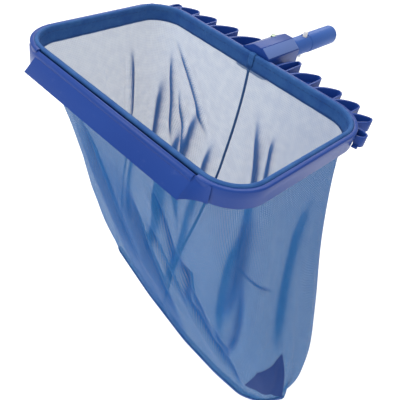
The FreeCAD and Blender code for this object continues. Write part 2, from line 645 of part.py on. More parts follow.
def make_handle(boss_y):
    half, top, ridge = D.housing_half, D.housing_top, D.ridge_half
    cover = prism("cover_body", "XZ_Plane", -shoulder_y, D.housing_length, [
        (-half, -D.split_below), (-half, rim_z), (-ridge, top), (ridge, top), (half, rim_z), (half, -D.split_below)])
    round_edges(cover, D.edge_round, lambda b: b.YMax - b.YMin > D.housing_length.value - 1 and b.ZMin > 0)
    reach = 60
    over_hoop = box("cover_over_hoop", (-half - reach, housing_front_y - reach, -half - reach),
                    (half + reach, hoop_back_y + D.fit_gap, hoop_top + D.fit_gap))
    over_hem = box("cover_over_hem", (-half - reach, housing_front_y - reach, -half - reach),
                   (half + reach, hoop_back_y - D.hoop_reach + D.hem_fold + D.fit_gap, rim_z + D.fit_gap))
    root = rod("cover_bore", D.root_radius, D.root_length, (0, shoulder_y - D.root_length, 0), "y")
    bolt_y = shoulder_y - D.bolt_back
    bolt_x = -D.bolt_offset
    seat_z = top - (D.bolt_offset - ridge) * (top - rim_z) / (half - ridge) - D.seat_depth
    bolt_hole = rod("cover_bolt_hole", D.bolt_radius, top * 3, (bolt_x, bolt_y, -top * 2))
    seat = rod("cover_bolt_seat", D.bolt_radius * 2.5, top, (bolt_x, bolt_y, seat_z))
    inset_y = housing_front_y + D.screw_inset
    screw_places = [(D.bolt_offset, bolt_y), (D.bolt_offset, inset_y), (bolt_x, inset_y)]
    pilots = [rod("cover_pilot", D.screw_radius, D.pilot_depth, (x, y, -D.split_below)) for x, y in screw_places]
    keep("handle_cover", cut("cover_cut", cover, [over_hoop, over_hem, root, bolt_hole, seat] + pilots))

    wing_top = hoop_bottom
    wing_low = wing_top - D.wing_thickness
    wing_front = hoop_back_y - D.wing_under
    wing_back = shoulder_y + D.wing_beyond
    wing = prism("neck_wing", "XY_Plane", wing_low, D.wing_thickness, [
        (-D.wing_half, wing_front), (D.wing_half, wing_front), (D.wing_half, wing_back), (-D.wing_half, wing_back)])
    round_edges(wing, D.wing_round, lambda b: b.ZMax - b.ZMin > D.wing_thickness.value - 0.1)
    block = box("neck_block", (-half, hoop_back_y + D.fit_gap, wing_low), (half, shoulder_y, -D.split_below))
    keel = prism("neck_keel", "YZ_Plane", -D.blade_rib, D.blade_rib * 2, [
        (wing_front + D.keel_depth - 1, wing_low + 1), (wing_front + D.keel_depth - 1, wing_low - 1),
        (shoulder_y - D.keel_depth * 2, wing_low - D.keel_depth),
        (wing_back - 3, wing_low - 2), (wing_back - 3, wing_low + 1)])
    neck = fuse("neck_solid", [wing, block, keel])
    neck_root = rod("neck_bore", D.root_radius, D.root_length, (0, shoulder_y - D.root_length, 0), "y")
    neck_shank = rod("neck_shank", D.shank_radius, D.shank_length, (0, shoulder_y, 0), "y")
    nut_pocket = rod("neck_nut_pocket", D.bolt_radius * 2.1, D.pocket_depth, (bolt_x, bolt_y, wing_low))
    neck_bolt = rod("neck_bolt_hole", D.bolt_radius, top * 2, (bolt_x, bolt_y, -top * 2))
    holes = [rod("neck_screw_hole", D.screw_radius, top, (x, y, -top)) for x, y in screw_places]
    sinks = [rod("neck_screw_sink", D.screw_head, D.sink_depth, (x, y, wing_low)) for x, y in screw_places]
    hoop_holes = [rod("wing_screw_hole", D.screw_radius, top, (x, boss_y, -top))
                  for x in (-half * 0.6, half * 0.6)]
    keep("handle_neck", cut("neck_cut", neck, [neck_root, neck_shank, nut_pocket, neck_bolt] + holes + sinks
                            + hoop_holes))
    grip = D.pilot_depth - D.sink_depth * 2 - wing_low - D.split_below
    places = [((x, y, wing_low + D.sink_depth), grip) for x, y in screw_places]
    screw_group("cover_screws", places, "z", True)

    washer_out = rod("washer_out", D.bolt_radius * 2.3, D.washer_thickness, (bolt_x, bolt_y, seat_z))
    washer_in = rod("washer_in", D.bolt_radius, D.washer_thickness, (bolt_x, bolt_y, seat_z))
    keep("clamp_washer", cut("washer_cut", washer_out, [washer_in]))
    hexagon = doc.addObject("Part::Prism", "bolt_head")
    hexagon.Polygon = 6
    bind(hexagon, Circumradius=D.bolt_radius * 2.1, Height=D.head_height)
    head_z = seat_z + D.washer_thickness
    put(hexagon, (bolt_x, bolt_y, head_z))
    shank = rod("bolt_shank", D.bolt_radius, head_z - wing_low, (bolt_x, bolt_y, wing_low))
    keep("clamp_bolt", fuse("bolt_fuse", [hexagon, shank]))
    nut = doc.addObject("Part::Prism", "nut_blank")
    nut.Polygon = 6
    bind(nut, Circumradius=D.bolt_radius * 2, Height=D.nut_height)
    put(nut, (bolt_x, bolt_y, wing_low + D.fit_gap))
    nut_hole = rod("nut_hole", D.bolt_radius, 4, (bolt_x, bolt_y, wing_low - 1))
    keep("clamp_nut", cut("nut_cut", nut, [nut_hole]))

    width, drop = (half - ridge).value, (top - rim_z).value
    angle = math.degrees(math.atan2(drop, width))
    slope_length = math.hypot(width, drop) - 2 * D.label_margin.value
    label = doc.addObject("Part::Box", "label_box")
    bind(label, Width=D.housing_length - 2 * D.label_margin, Height=D.label_thickness)
    label.Length = slope_length
    turn(label, (0, 1, 0), angle)
    put(label, (ridge + D.label_margin * math.cos(math.radians(angle)), housing_front_y + D.label_margin,
                top - D.label_margin * math.sin(math.radians(angle))))
    keep("label_plate", label)


def make_spring():
    bend_out = rod("bend_out", D.bend_radius, D.strip_width, (-D.strip_width / 2, bend_y, 0), "x")
    bend_in = rod("bend_in", D.bend_radius - D.strip_thickness, D.strip_width * 2, (-D.strip_width, bend_y, 0), "x")
    half = box("bend_half", (-D.strip_width, bend_y - D.bend_radius * 2, -D.bend_radius * 2),
               (D.strip_width, bend_y, D.bend_radius * 2))
    keep("spring_bend", cut("bend_cut", bend_out, [bend_in, half]))
    start_y = bend_y - D.leg_gap
    far_y = button_y - D.strip_width / 2
    rise = D.leg_at_button - D.bend_radius
    head_top = D.shank_radius + D.button_proud
    dome = D.button_radius * 0.45
    for name, side in (("top", 1), ("bottom", -1)):
        flat_y = button_y + D.strip_width / 2
        leg = prism(f"leg_{name}", "YZ_Plane", -D.strip_width / 2, D.strip_width, [
            (start_y, (D.bend_radius - D.strip_thickness) * side),
            (start_y, D.bend_radius * side,
             start_y + D.strip_thickness / 2, (D.bend_radius - D.strip_thickness / 2) * side),
            (flat_y, (D.bend_radius + rise) * side),
            (far_y, (D.bend_radius + rise) * side),
            (far_y, (D.bend_radius + rise - D.strip_thickness) * side),
            (flat_y, (D.bend_radius + rise - D.strip_thickness) * side)])
        keep(f"spring_leg_{name}", leg)
        body = new_body(f"button_body_{name}")
        sketch = new_sketch(body, "XZ_Plane", -button_y)
        seat = D.leg_at_button
        flange = seat + 0.8
        outline(sketch, [
            (Size.of(0), seat * side), (D.button_flange, seat * side), (D.button_flange, flange * side),
            (D.button_radius, flange * side), (D.button_radius, (head_top - dome) * side),
            (D.button_radius * 0.82, (head_top - dome * 0.45) * side),
            (D.button_radius * 0.45, (head_top - dome * 0.1) * side), (Size.of(0), head_top * side)])
        spin = body.newObject("PartDesign::Revolution", f"button_turned_{name}")
        spin.Profile = sketch
        spin.ReferenceAxis = (sketch, ["V_Axis"])
        spin.Angle = 360
        keep(f"button_{name}", body)


def stations():
    """Level-by-level sections of the hanging bag: height, left, right, half width and corner radius."""
    half, wide = D.mouth_length.value / 2, D.mouth_width.value / 2
    depth, lean = D.bag_depth.value, D.bag_lean.value
    top = D.hem_depth.value
    shares = [(0, 0, 0, 1, 1), (0.3, 0, 0.36, 0.71, 0.9), (0.6, 0.5, 0.73, 0.39, 0.6), (0.84, 0.74, 1.04, 0.05, 0.1)]
    rows = []
    for share, left, right, width, corner in shares:
        height = top + (depth - top) * share
        rows.append((height, -half + half * 0.57 * left, half + half * 0.59 * right * (lean / 0.215), wide * width,
                     D.mouth_corner.value * corner))
    return rows


def section(row, inset):
    """Corner and side points of one section, in order from the front left round the front."""
    height, left, right, half, corner = row
    left, right, half = left + inset, right - inset, half - inset
    radius = max(corner - inset, 1.0)
    radius = min(radius, half * 0.9)
    z, y = rim_z.value - height, mouth_y.value
    points = []
    for x, sy, start in ((left + radius, -1, 180), (right - radius, -1, 270), (right - radius, 1, 0),
                         (left + radius, 1, 90)):
        for turn_by in (0, 30, 60, 90):
            angle = math.radians(start + turn_by)
            points.append(Vector(x + radius * math.cos(angle), y + sy * (half - radius) + radius * math.sin(angle), z))
    return points


def strip(outer, inner, first, last):
    """The closed outline of one panel at one section."""
    count = len(outer)
    span = [n % count for n in range(first, last + 1)]
    return [outer[n] for n in span] + [inner[n] for n in reversed(span)]


def lofted(wires):
    loops = [Part.makePolygon(points + points[:1]) for points in wires]
    solids = [Part.makeLoft(list(pair), True, True) for pair in zip(loops, loops[1:])]
    return solids[0].fuse(solids[1:]).removeSplitter()


def soft_solid(name, shape):
    made = doc.addObject("Part::Feature", name)
    made.Shape = shape
    return keep(name, made)


def make_bag():
    rows = stations()
    wall = D.net_wall.value
    outer = [section(row, 0) for row in rows]
    inner = [section(row, wall) for row in rows]

    def mid_back(points, row):
        """The centre-back seam's point: it drifts along X as the bag leans."""
        drift = (row[0] - rows[0][0]) * 0.135
        y = max(points, key=lambda p: p.y).y
        return Vector(drift, y, points[0].z)

    soft_solid("bag_front", lofted([strip(o, i, 3, 4) for o, i in zip(outer, inner)]))
    soft_solid("bag_right", lofted([strip(o, i, 4, 11) for o, i in zip(outer, inner)]))
    soft_solid("bag_left", lofted([strip(o, i, 12, 19) for o, i in zip(outer, inner)]))
    seam_out = [mid_back(points, row) for points, row in zip(outer, rows)]
    seam_in = [mid_back(points, row) for points, row in zip(inner, rows)]
    right = [[o[11], so, si, i[11]] for o, i, so, si in zip(outer, inner, seam_out, seam_in)]
    left = [[so, o[12], i[12], si] for o, i, so, si in zip(outer, inner, seam_out, seam_in)]
    soft_solid("bag_back_right", lofted(right))
    soft_solid("bag_back_left", lofted(left))
    half, thick = D.seam_width.value / 2, D.seam_thickness.value
    tape = [[p + Vector(-half, 0, 0), p + Vector(half, 0, 0), p + Vector(half, thick, 0), p + Vector(-half, thick, 0)]
            for p in seam_out]
    soft_solid("back_seam_tape", lofted(tape))

    last = rows[-1]
    z, y = rim_z.value - last[0], mouth_y.value
    low = rim_z.value - D.bag_depth.value
    width = last[2] - last[1]
    toe = [(0, 0), (0.22, 0.42), (0.5, 0.97), (0.7, 1), (0.83, 0.93), (0.92, 0.55), (1, 0)]
    face = [Vector(last[1] + width * share, y - D.toe_half.value, z + (low - z) * fall) for share, fall in toe]
    solid = Part.Face(Part.makePolygon(face + face[:1])).extrude(Vector(0, 2 * D.toe_half.value, 0))
    soft_solid("bag_toe", solid)
    patch = [(0.78, 0.25), (0.9, 0.1), (0.95, 0.2), (0.86, 0.62), (0.74, 0.8)]
    front = y - D.toe_half.value
    face = [Vector(last[1] + width * share, front, z + (low - z) * fall) for share, fall in patch]
    solid = Part.Face(Part.makePolygon(face + face[:1])).extrude(Vector(0, -D.seam_thickness.value, 0))
    soft_solid("toe_patch", solid)


def main():
    boss_y = make_hoop()
    make_hem()
    make_blade()
    make_combs()
    make_spigot()
    make_handle(boss_y)
    make_spring()
    make_bag()
    doc.recompute()
    faults = [f"{o.Label}: {o.State}" for o in doc.Objects if {"Invalid", "Error"} & set(o.State)]
    for node, feature in NODES.items():
        shape = feature.Shape
        if shape.isNull() or not shape.isValid() or not shape.Solids:
            faults.append(f"{node}: no valid solid")
    if faults:
        raise SystemExit("\n".join(faults))
    os.makedirs("parts", exist_ok=True)
    for node, feature in NODES.items():
        feature.Shape.exportStep(f"parts/{node}.step")
        bounds = feature.Shape.BoundBox
        print(f"{node}: {len(feature.Shape.Solids)} solids, {feature.Shape.Volume / 1000:.2f} cm3, "
              f"x {bounds.XMin:.1f} {bounds.XMax:.1f} y {bounds.YMin:.1f} {bounds.YMax:.1f} "
              f"z {bounds.ZMin:.1f} {bounds.ZMax:.1f}")


main()
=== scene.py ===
"""Leaf skimmer net: cloth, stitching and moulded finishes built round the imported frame."""

import logging
import math
from dataclasses import dataclass, field
from enum import Enum

import bpy
import numpy as np
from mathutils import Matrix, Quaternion, Vector


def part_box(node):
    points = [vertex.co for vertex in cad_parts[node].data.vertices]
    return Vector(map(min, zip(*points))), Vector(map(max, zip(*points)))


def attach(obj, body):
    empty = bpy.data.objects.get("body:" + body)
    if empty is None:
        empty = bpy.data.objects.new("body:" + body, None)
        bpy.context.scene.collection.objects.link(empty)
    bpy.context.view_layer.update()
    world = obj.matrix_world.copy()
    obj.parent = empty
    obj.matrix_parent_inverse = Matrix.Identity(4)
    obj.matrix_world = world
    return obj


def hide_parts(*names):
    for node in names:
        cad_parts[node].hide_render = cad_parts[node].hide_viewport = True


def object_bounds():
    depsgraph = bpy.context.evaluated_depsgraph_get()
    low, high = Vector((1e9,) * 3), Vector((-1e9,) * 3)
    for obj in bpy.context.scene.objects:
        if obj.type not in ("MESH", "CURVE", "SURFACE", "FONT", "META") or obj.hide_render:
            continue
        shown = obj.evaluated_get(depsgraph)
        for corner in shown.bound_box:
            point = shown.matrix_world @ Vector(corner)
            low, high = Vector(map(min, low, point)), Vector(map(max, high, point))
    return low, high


logging.basicConfig(level=logging.INFO, format="%(name)s: %(message)s")
LOG = logging.getLogger("leaf_skimmer")

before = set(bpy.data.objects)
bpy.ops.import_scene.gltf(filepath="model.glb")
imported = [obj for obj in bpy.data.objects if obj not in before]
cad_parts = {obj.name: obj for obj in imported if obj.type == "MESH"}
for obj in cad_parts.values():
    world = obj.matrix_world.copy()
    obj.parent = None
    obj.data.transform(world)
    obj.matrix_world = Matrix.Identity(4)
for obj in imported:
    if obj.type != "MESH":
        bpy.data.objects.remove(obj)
CAD_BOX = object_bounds()

MM = 0.001
MIDDLE_BACK = 0.75  # the way round at the middle of the back
JOIN_WITHIN = 2e-6  # points of a part closer than this are one
FLAT_WITHIN = 0.6  # degrees; flatter edges are dissolved
SOFTENED_ABOVE = 32.0  # degrees; sharper edges are softened


class Finish(Enum):
    """Each finish of the net; its value is a slot name."""

    FRAME = "frame_plastic"
    SPIGOT = "spigot_plastic"
    PLATE = "blank_plate"
    BUTTON = "button_plastic"
    STEEL = "steel"
    SPRING = "spring_steel"
    ROD = "rod_plastic"
    THREAD = "stitch_thread"
    MESH = "mesh"
    PATCH = "mesh_patch"
    HEM = "hem_tape"
    SEAM = "seam_tape"
    BINDING = "toe_tape"


Finishes = dict[Finish, bpy.types.Material]
Triple = tuple[float, float, float]


# ---------------------------------------------------------------- shader groups


def new_group(name: str, inputs: dict[str, tuple[str, object]],
              outputs: dict[str, str]) -> bpy.types.NodeTree:
    """Make an empty shader group with named sockets.

    Args:
        name: the group's name.
        inputs: socket name to its type's short name and its default.
        outputs: socket name to its type's short name.

    Returns:
        The group, holding its input and output nodes.
    """
    tree = bpy.data.node_groups.new(name, "ShaderNodeTree")
    for label, (kind, default) in inputs.items():
        socket = tree.interface.new_socket(name=label, in_out="INPUT", socket_type=f"NodeSocket{kind}")
        if default is not None:
            socket.default_value = default
    for label, kind in outputs.items():
        tree.interface.new_socket(name=label, in_out="OUTPUT", socket_type=f"NodeSocket{kind}")
    tree.nodes.new("NodeGroupInput")
    tree.nodes.new("NodeGroupOutput")
    return tree


class Wiring:
    """A short way to add nodes to a tree and join them."""

    def __init__(self, tree: bpy.types.NodeTree) -> None:
        """Keep the tree to work on.

        Args:
            tree: the node tree.
        """
        self.tree = tree

    def feed(self, socket: bpy.types.NodeSocket, value: object) -> None:
        """Join a socket to an output, or set its plain value.

        Args:
            socket: the input socket.
            value: an output socket or a plain value.
        """
        if isinstance(value, bpy.types.NodeSocket):
            self.tree.links.new(value, socket)
        else:
            socket.default_value = value

    def node(self, kind: str, links: dict[int | str, object] | None = None,
             **settings: object) -> bpy.types.Node:
        """Add one node.

        Args:
            kind: the node's type, without the ShaderNode prefix.
            links: input name or number to an output socket or a plain value.
            **settings: properties set on the node.

        Returns:
            The new node.
        """
        made = self.tree.nodes.new("ShaderNode" + kind)
        for key, value in settings.items():
            setattr(made, key, value)
        for key, value in (links or {}).items():
            self.feed(made.inputs[key], value)
        return made

    def group(self, tree: bpy.types.NodeTree, values: dict[str, object]) -> bpy.types.NodeSocket:
        """Place a shared group.

        Args:
            tree: the group.
            values: input name to an output socket or a plain value.

        Returns:
            The group node's outputs.
        """
        made = self.tree.nodes.new("ShaderNodeGroup")
        made.node_tree = tree
        for key, value in values.items():
            self.feed(made.inputs[key], value)
        return made.outputs

    def maths(self, operation: str, first: object, second: object = 0.0,
              clamp: bool = False) -> bpy.types.NodeSocket:
        """One step of arithmetic.

        Args:
            operation: the step's name.
            first: the first socket or number.
            second: the second socket or number.
            clamp: whether the result is held from 0 to 1.

        Returns:
            The result's socket.
        """
        made = self.node("Math", {0: first, 1: second}, operation=operation, use_clamp=clamp)
        return made.outputs[0]

    def span(self, value: object, low: float, high: float, to_low: float,
             to_high: float) -> bpy.types.NodeSocket:
        """A value carried from one range to another, held at the ends.

        Args:
            value: the socket to carry over.
            low: start of its range.
            high: end of its range.
            to_low: start of the new range.
            to_high: end of the new range.

        Returns:
            The result's socket.
        """
        names = {"Value": value, "From Min": low, "From Max": high, "To Min": to_low, "To Max": to_high}
        return self.node("MapRange", names).outputs["Result"]

    def blend(self, share: object, first: object, second: object) -> bpy.types.NodeSocket:
        """Two colours mixed by a share.

        Args:
            share: 0 for the first colour and 1 for the second.
            first: the first colour.
            second: the second colour.

        Returns:
            The mixed colour's socket.
        """
        return self.node("Mix", {0: share, 6: first, 7: second}, data_type="RGBA").outputs[2]

    def source(self) -> bpy.types.Node:
        """The group's input node."""
        return next(n for n in self.tree.nodes if n.bl_idname == "NodeGroupInput")

    def give(self, **values: bpy.types.NodeSocket) -> None:
        """Join sockets to the group's outputs.

        Args:
            **values: output name to the socket that feeds it.
        """
        out = next(n for n in self.tree.nodes if n.bl_idname == "NodeGroupOutput")
        for key, value in values.items():
            self.tree.links.new(value, out.inputs[key])


def build_moulding_group() -> bpy.types.NodeTree:
    """Injection-moulded surface: a faint flow mottle, fine grain and small scuffs.

    Returns:
        The group. It gives: colour, roughness and height of a moulded surface.
    """
    inputs = {
        "Place": ("Vector", None),
        "Colour": ("Color", (0.5, 0.5, 0.5, 1)),
        "Shade": ("Color", (0.2, 0.2, 0.2, 1)),
        "Roughness": ("Float", 0.35),
        "Grain Scale": ("Float", 900.0),
    }
    tree = new_group("moulded_surface", inputs, {"Colour": "Color", "Roughness": "Float", "Height": "Float"})
    w = Wiring(tree)
    given = w.source().outputs
    place = given["Place"]
    flow = w.node("TexNoise", {"Vector": place, "Scale": 9.0, "Detail": 3.0}).outputs[0]
    grain = w.node("TexNoise", {"Vector": place, "Scale": given["Grain Scale"], "Detail": 2.0}).outputs[0]
    scuffs = {"Vector": place, "Scale": 60.0, "Detail": 6.0, "Roughness": 0.75}
    scuff = w.node("TexNoise", scuffs).outputs[0]
    worn = w.span(scuff, 0.6, 0.75, 0.0, 1.0)
    tone = w.span(flow, 0.35, 0.65, 0.0, 1.0)
    base = w.blend(w.maths("MULTIPLY", tone, 0.35), given["Colour"], given["Shade"])
    colour = w.blend(w.maths("MULTIPLY", worn, 0.06), base, (0.4, 0.45, 0.65, 1))
    rough = w.maths("ADD", given["Roughness"], w.maths("MULTIPLY", worn, 0.12))
    height = w.maths("ADD", grain, w.maths("MULTIPLY", worn, -0.4))
    w.give(Colour=colour, Roughness=w.maths("ADD", rough, w.maths("MULTIPLY", grain, 0.05)), Height=height)
    return tree


def build_weave_group() -> bpy.types.NodeTree:
    """Plain weave of warp and weft on a map in metres: thread mask, height and thread-by-thread tone.

    Returns:
        The group. It gives: mask, height and tone of the weave.
    """
    inputs = {
        "Map": ("Vector", None),
        "Pitch": ("Float", 0.0014),
        "Thread": ("Float", 0.3),
        "Wander": ("Float", 0.3),
    }
    outputs = {"Mask": "Float", "Height": "Float", "Tone": "Float"}
    tree = new_group("plain_weave", inputs, outputs)
    w = Wiring(tree)
    given = w.source().outputs
    drift = w.node("TexNoise", {"Vector": given["Map"], "Scale": 26.0, "Detail": 2.0}).outputs[0]
    wander = w.maths("MULTIPLY", w.maths("SUBTRACT", drift, 0.5), given["Wander"])
    split = w.node("SeparateXYZ", {0: given["Map"]})
    waves = []
    for axis in (0, 1):
        turns = w.maths("ADD", w.maths("DIVIDE", split.outputs[axis], given["Pitch"]), wander)
        waves.append(w.maths("ABSOLUTE", w.maths("SINE", w.maths("MULTIPLY", turns, math.pi))))
    thick = [w.maths("GREATER_THAN", wave, w.maths("SUBTRACT", 1.0, given["Thread"])) for wave in waves]
    mask = w.maths("MAXIMUM", thick[0], thick[1])
    height = w.maths("MAXIMUM", waves[0], waves[1])
    streak = w.node("TexNoise", {"Vector": given["Map"], "Scale": 70.0, "Detail": 3.0}).outputs[0]
    w.give(Mask=mask, Height=height, Tone=streak)
    return tree


def build_rib_group() -> bpy.types.NodeTree:
    """Woven tape: close ribs along the tape, with a soft mottle where the dye took unevenly.

    Returns:
        The group. It gives: height and mottle of the tape.
    """
    inputs = {"Map": ("Vector", None), "Pitch": ("Float", 0.0016)}
    tree = new_group("tape_ribs", inputs, {"Height": "Float", "Mottle": "Float"})
    w = Wiring(tree)
    given = w.source().outputs
    split = w.node("SeparateXYZ", {0: given["Map"]})
    waves = []
    for axis in (0, 1):
        turns = w.maths("DIVIDE", split.outputs[axis], given["Pitch"])
        waves.append(w.maths("SINE", w.maths("MULTIPLY", turns, 2 * math.pi)))
    pick, rib = waves
    dye = {"Vector": given["Map"], "Scale": 38.0, "Detail": 5.0, "Roughness": 0.65}
    mottle = w.node("TexNoise", dye).outputs[0]
    height = w.maths("ADD", w.maths("MULTIPLY", rib, 0.7), w.maths("MULTIPLY", pick, 0.4))
    w.give(Height=height, Mottle=w.span(mottle, 0.3, 0.7, 0.0, 1.0))
    return tree


@dataclass(frozen=True)
class Groups:
    """The shader groups that the finishes share."""

    moulding: bpy.types.NodeTree
    weave: bpy.types.NodeTree
    ribs: bpy.types.NodeTree


@dataclass(frozen=True)
class Moulded:
    """A moulded plastic finish."""

    name: str
    colour: Triple
    shade: Triple
    roughness: float = 0.33
    coat: float = 0.05
    bump: float = 0.05
    metallic: float = 0.0
    gloss: float = 0.3
    grain_depth: float = 0.6 * MM

    def build(self, groups: Groups) -> bpy.types.Material:
        """Make the material from its values.

        Args:
            groups: the shared shader groups.

        Returns:
            The finished material.
        """
        made = bpy.data.materials.new(self.name)
        made.use_nodes = True
        w = Wiring(made.node_tree)
        shader = made.node_tree.nodes["Principled BSDF"]
        place = w.node("TexCoord").outputs["Object"]
        surface = w.group(groups.moulding, {
            "Place": place,
            "Colour": (*self.colour, 1),
            "Shade": (*self.shade, 1),
            "Roughness": self.roughness,
        })
        w.feed(shader.inputs["Base Color"], surface["Colour"])
        w.feed(shader.inputs["Roughness"], surface["Roughness"])
        grain = {"Height": surface["Height"], "Strength": self.bump, "Distance": self.grain_depth}
        bump = w.node("Bump", grain)
        w.feed(shader.inputs["Normal"], bump.outputs[0])
        shader.inputs["Specular IOR Level"].default_value = self.gloss
        shader.inputs["Coat Weight"].default_value = self.coat
        shader.inputs["Coat Roughness"].default_value = 0.2
        shader.inputs["Metallic"].default_value = self.metallic
        return made


@dataclass(frozen=True)
class OpenMesh:
    """Fine knitted netting that light passes through; gathered cloth is denser and painted darker as shade in
    its creases, and inside faces are painted lighter, as if lit.
    """

    name: str
    thread: Triple
    # painted shade: the darker colour that gathered cloth and its creases go towards
    dense_and_shaded: Triple
    pitch: float = 0.0026
    # painted light: the colour of inside faces, lighter than the thread as if lit from above
    inside: Triple = (0.27, 0.365, 0.52)
    open_share: float = 0.38
    close_share: float = 0.86
    inner_face_cover: float = 0.67
    inner_face_evenness: float = 0.6
    gathered: float = 0.38

    def build(self, groups: Groups) -> bpy.types.Material:
        """Make the material from its values.

        Args:
            groups: the shared shader groups.

        Returns:
            The finished material.
        """
        made = bpy.data.materials.new(self.name)
        made.use_nodes = True
        w = Wiring(made.node_tree)
        shader = made.node_tree.nodes["Principled BSDF"]
        weave = w.group(groups.weave, {"Map": w.node("TexCoord").outputs["UV"], "Pitch": self.pitch})
        gather_and_shade = w.node("Attribute", attribute_name="gather_and_shade").outputs["Fac"]
        tone = w.span(weave["Tone"], 0.35, 0.65, 0.0, 0.25)
        # the colour darkens with a random thread tone and with the gather: denser cloth, and painted shade in
        # the creases
        share = w.maths("ADD", tone, w.maths("MULTIPLY", gather_and_shade, 1.5), clamp=True)
        # painted light: inside faces take the lighter inside colour, outside faces the darker thread colour
        inner_face = w.node("NewGeometry").outputs["Backfacing"]
        facing = w.blend(inner_face, (*self.thread, 1), (*self.inside, 1))
        colour = w.blend(share, facing, (*self.dense_and_shaded, 1))
        w.feed(shader.inputs["Base Color"], colour)
        cover = w.span(weave["Mask"], 0.0, 1.0, self.open_share, self.close_share)
        evenness = w.maths("MULTIPLY", inner_face, self.inner_face_evenness)
        calm = w.maths("MULTIPLY", w.maths("SUBTRACT", self.inner_face_cover, cover), evenness)
        cover = w.maths("ADD", cover, calm)
        alpha = w.maths("ADD", cover, w.maths("MULTIPLY", gather_and_shade, self.gathered), clamp=True)
        w.feed(shader.inputs["Alpha"], alpha)
        bump = w.node("Bump", {"Height": weave["Height"], "Strength": 0.15, "Distance": 0.4 * MM})
        w.feed(shader.inputs["Normal"], bump.outputs[0])
        shader.inputs["Roughness"].default_value = 0.7
        shader.inputs["Specular IOR Level"].default_value = 0.15
        return made


@dataclass(frozen=True)
class Tape:
    """Woven binding tape."""

    name: str
    light: Triple
    dark: Triple
    pitch: float = 0.0016

    def build(self, groups: Groups) -> bpy.types.Material:
        """Make the material from its values.

        Args:
            groups: the shared shader groups.

        Returns:
            The finished material.
        """
        made = bpy.data.materials.new(self.name)
        made.use_nodes = True
        w = Wiring(made.node_tree)
        shader = made.node_tree.nodes["Principled BSDF"]
        ribs = w.group(groups.ribs, {"Map": w.node("TexCoord").outputs["UV"], "Pitch": self.pitch})
        w.feed(shader.inputs["Base Color"], w.blend(ribs["Mottle"], (*self.light, 1), (*self.dark, 1)))
        w.feed(shader.inputs["Roughness"], w.span(ribs["Mottle"], 0.0, 1.0, 0.5, 0.72))
        bump = w.node("Bump", {"Height": ribs["Height"], "Strength": 0.45, "Distance": 0.4 * MM})
        w.feed(shader.inputs["Normal"], bump.outputs[0])
        shader.inputs["Specular IOR Level"].default_value = 0.2
        return made


# ---------------------------------------------------------------- mesh helpers


def select_only(piece: bpy.types.Object) -> None:
    """Make one object the active and only selected one.

    Args:
        piece: the object.
    """
    bpy.ops.object.select_all(action="DESELECT")
    piece.select_set(True)
    bpy.context.view_layer.objects.active = piece


def apply_modifier(piece: bpy.types.Object, kind: str, **settings: object) -> None:
    """Add a modifier with its settings and apply it.

    Args:
        piece: the object to change.
        kind: the modifier's type.
        **settings: properties set on the modifier.
    """
    select_only(piece)
    made = piece.modifiers.new(kind.lower(), kind)
    for key, value in settings.items():
        setattr(made, key, value)
    bpy.ops.object.modifier_apply(modifier=made.name)


def shade(piece: bpy.types.Object, degrees: float = 35.0) -> None:
    """Smooth the shading across edges flatter than an angle.

    Args:
        piece: the object.
        degrees: the angle.
    """
    select_only(piece)
    bpy.ops.object.shade_smooth_by_angle(angle=math.radians(degrees))


def refined(node: str, name: str, edge: float, body: str = "root") -> bpy.types.Object:
    """A finished copy of a moulded part: joined faces, softened edges and smooth shading.

    Args:
        node: the part to copy and stand for.
        name: the new piece's name.
        edge: width of the softened edges, in metres.
        body: the body that it moves with.

    Returns:
        The new piece.
    """
    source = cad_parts[node]
    piece = bpy.data.objects.new(name, source.data.copy())
    bpy.context.scene.collection.objects.link(piece)
    piece.data.materials.clear()
    select_only(piece)
    bpy.ops.object.mode_set(mode="EDIT")
    bpy.ops.mesh.select_all(action="SELECT")
    bpy.ops.mesh.remove_doubles(threshold=JOIN_WITHIN)
    bpy.ops.mesh.dissolve_limited(angle_limit=math.radians(FLAT_WITHIN))
    bpy.ops.object.mode_set(mode="OBJECT")
    kept_normals = piece.data.attributes.get("custom_normal")
    if kept_normals:
        piece.data.attributes.remove(kept_normals)
    if edge > 0:
        apply_modifier(piece, "BEVEL", width=edge, segments=2, limit_method="ANGLE",
                       angle_limit=math.radians(SOFTENED_ABOVE), use_clamp_overlap=True)
    shade(piece)
    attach(piece, body)
    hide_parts(node)
    return piece


def grid_piece(name: str, points: np.ndarray, map_points: np.ndarray, closed: bool) -> bpy.types.Object:
    """A sheet from a grid of points, with a map in metres.

    Args:
        name: the new piece's name.
        points: rows by columns by three, in metres.
        map_points: rows by columns, one more column when closed, by two, in metres.
        closed: whether the last column joins the first.

    Returns:
        The new piece.
    """
    rows, columns = points.shape[:2]
    spans = columns if closed else columns - 1
    faces = []
    for r in range(rows - 1):
        for c in range(spans):
            d = (c + 1) % columns
            faces.append((r * columns + c, (r + 1) * columns + c, (r + 1) * columns + d, r * columns + d))
    mesh = bpy.data.meshes.new(name)
    mesh.from_pydata(points.reshape(-1, 3).tolist(), [], faces)
    layer = mesh.uv_layers.new(name="map")
    corners = []
    for r in range(rows - 1):
        for c in range(spans):
            corners += [map_points[r, c], map_points[r + 1, c]]
            corners += [map_points[r + 1, c + 1], map_points[r, c + 1]]
    layer.data.foreach_set("uv", np.array(corners, float).ravel())
    piece = bpy.data.objects.new(name, mesh)
    bpy.context.scene.collection.objects.link(piece)
    for polygon in mesh.polygons:
        polygon.use_smooth = True
    return piece


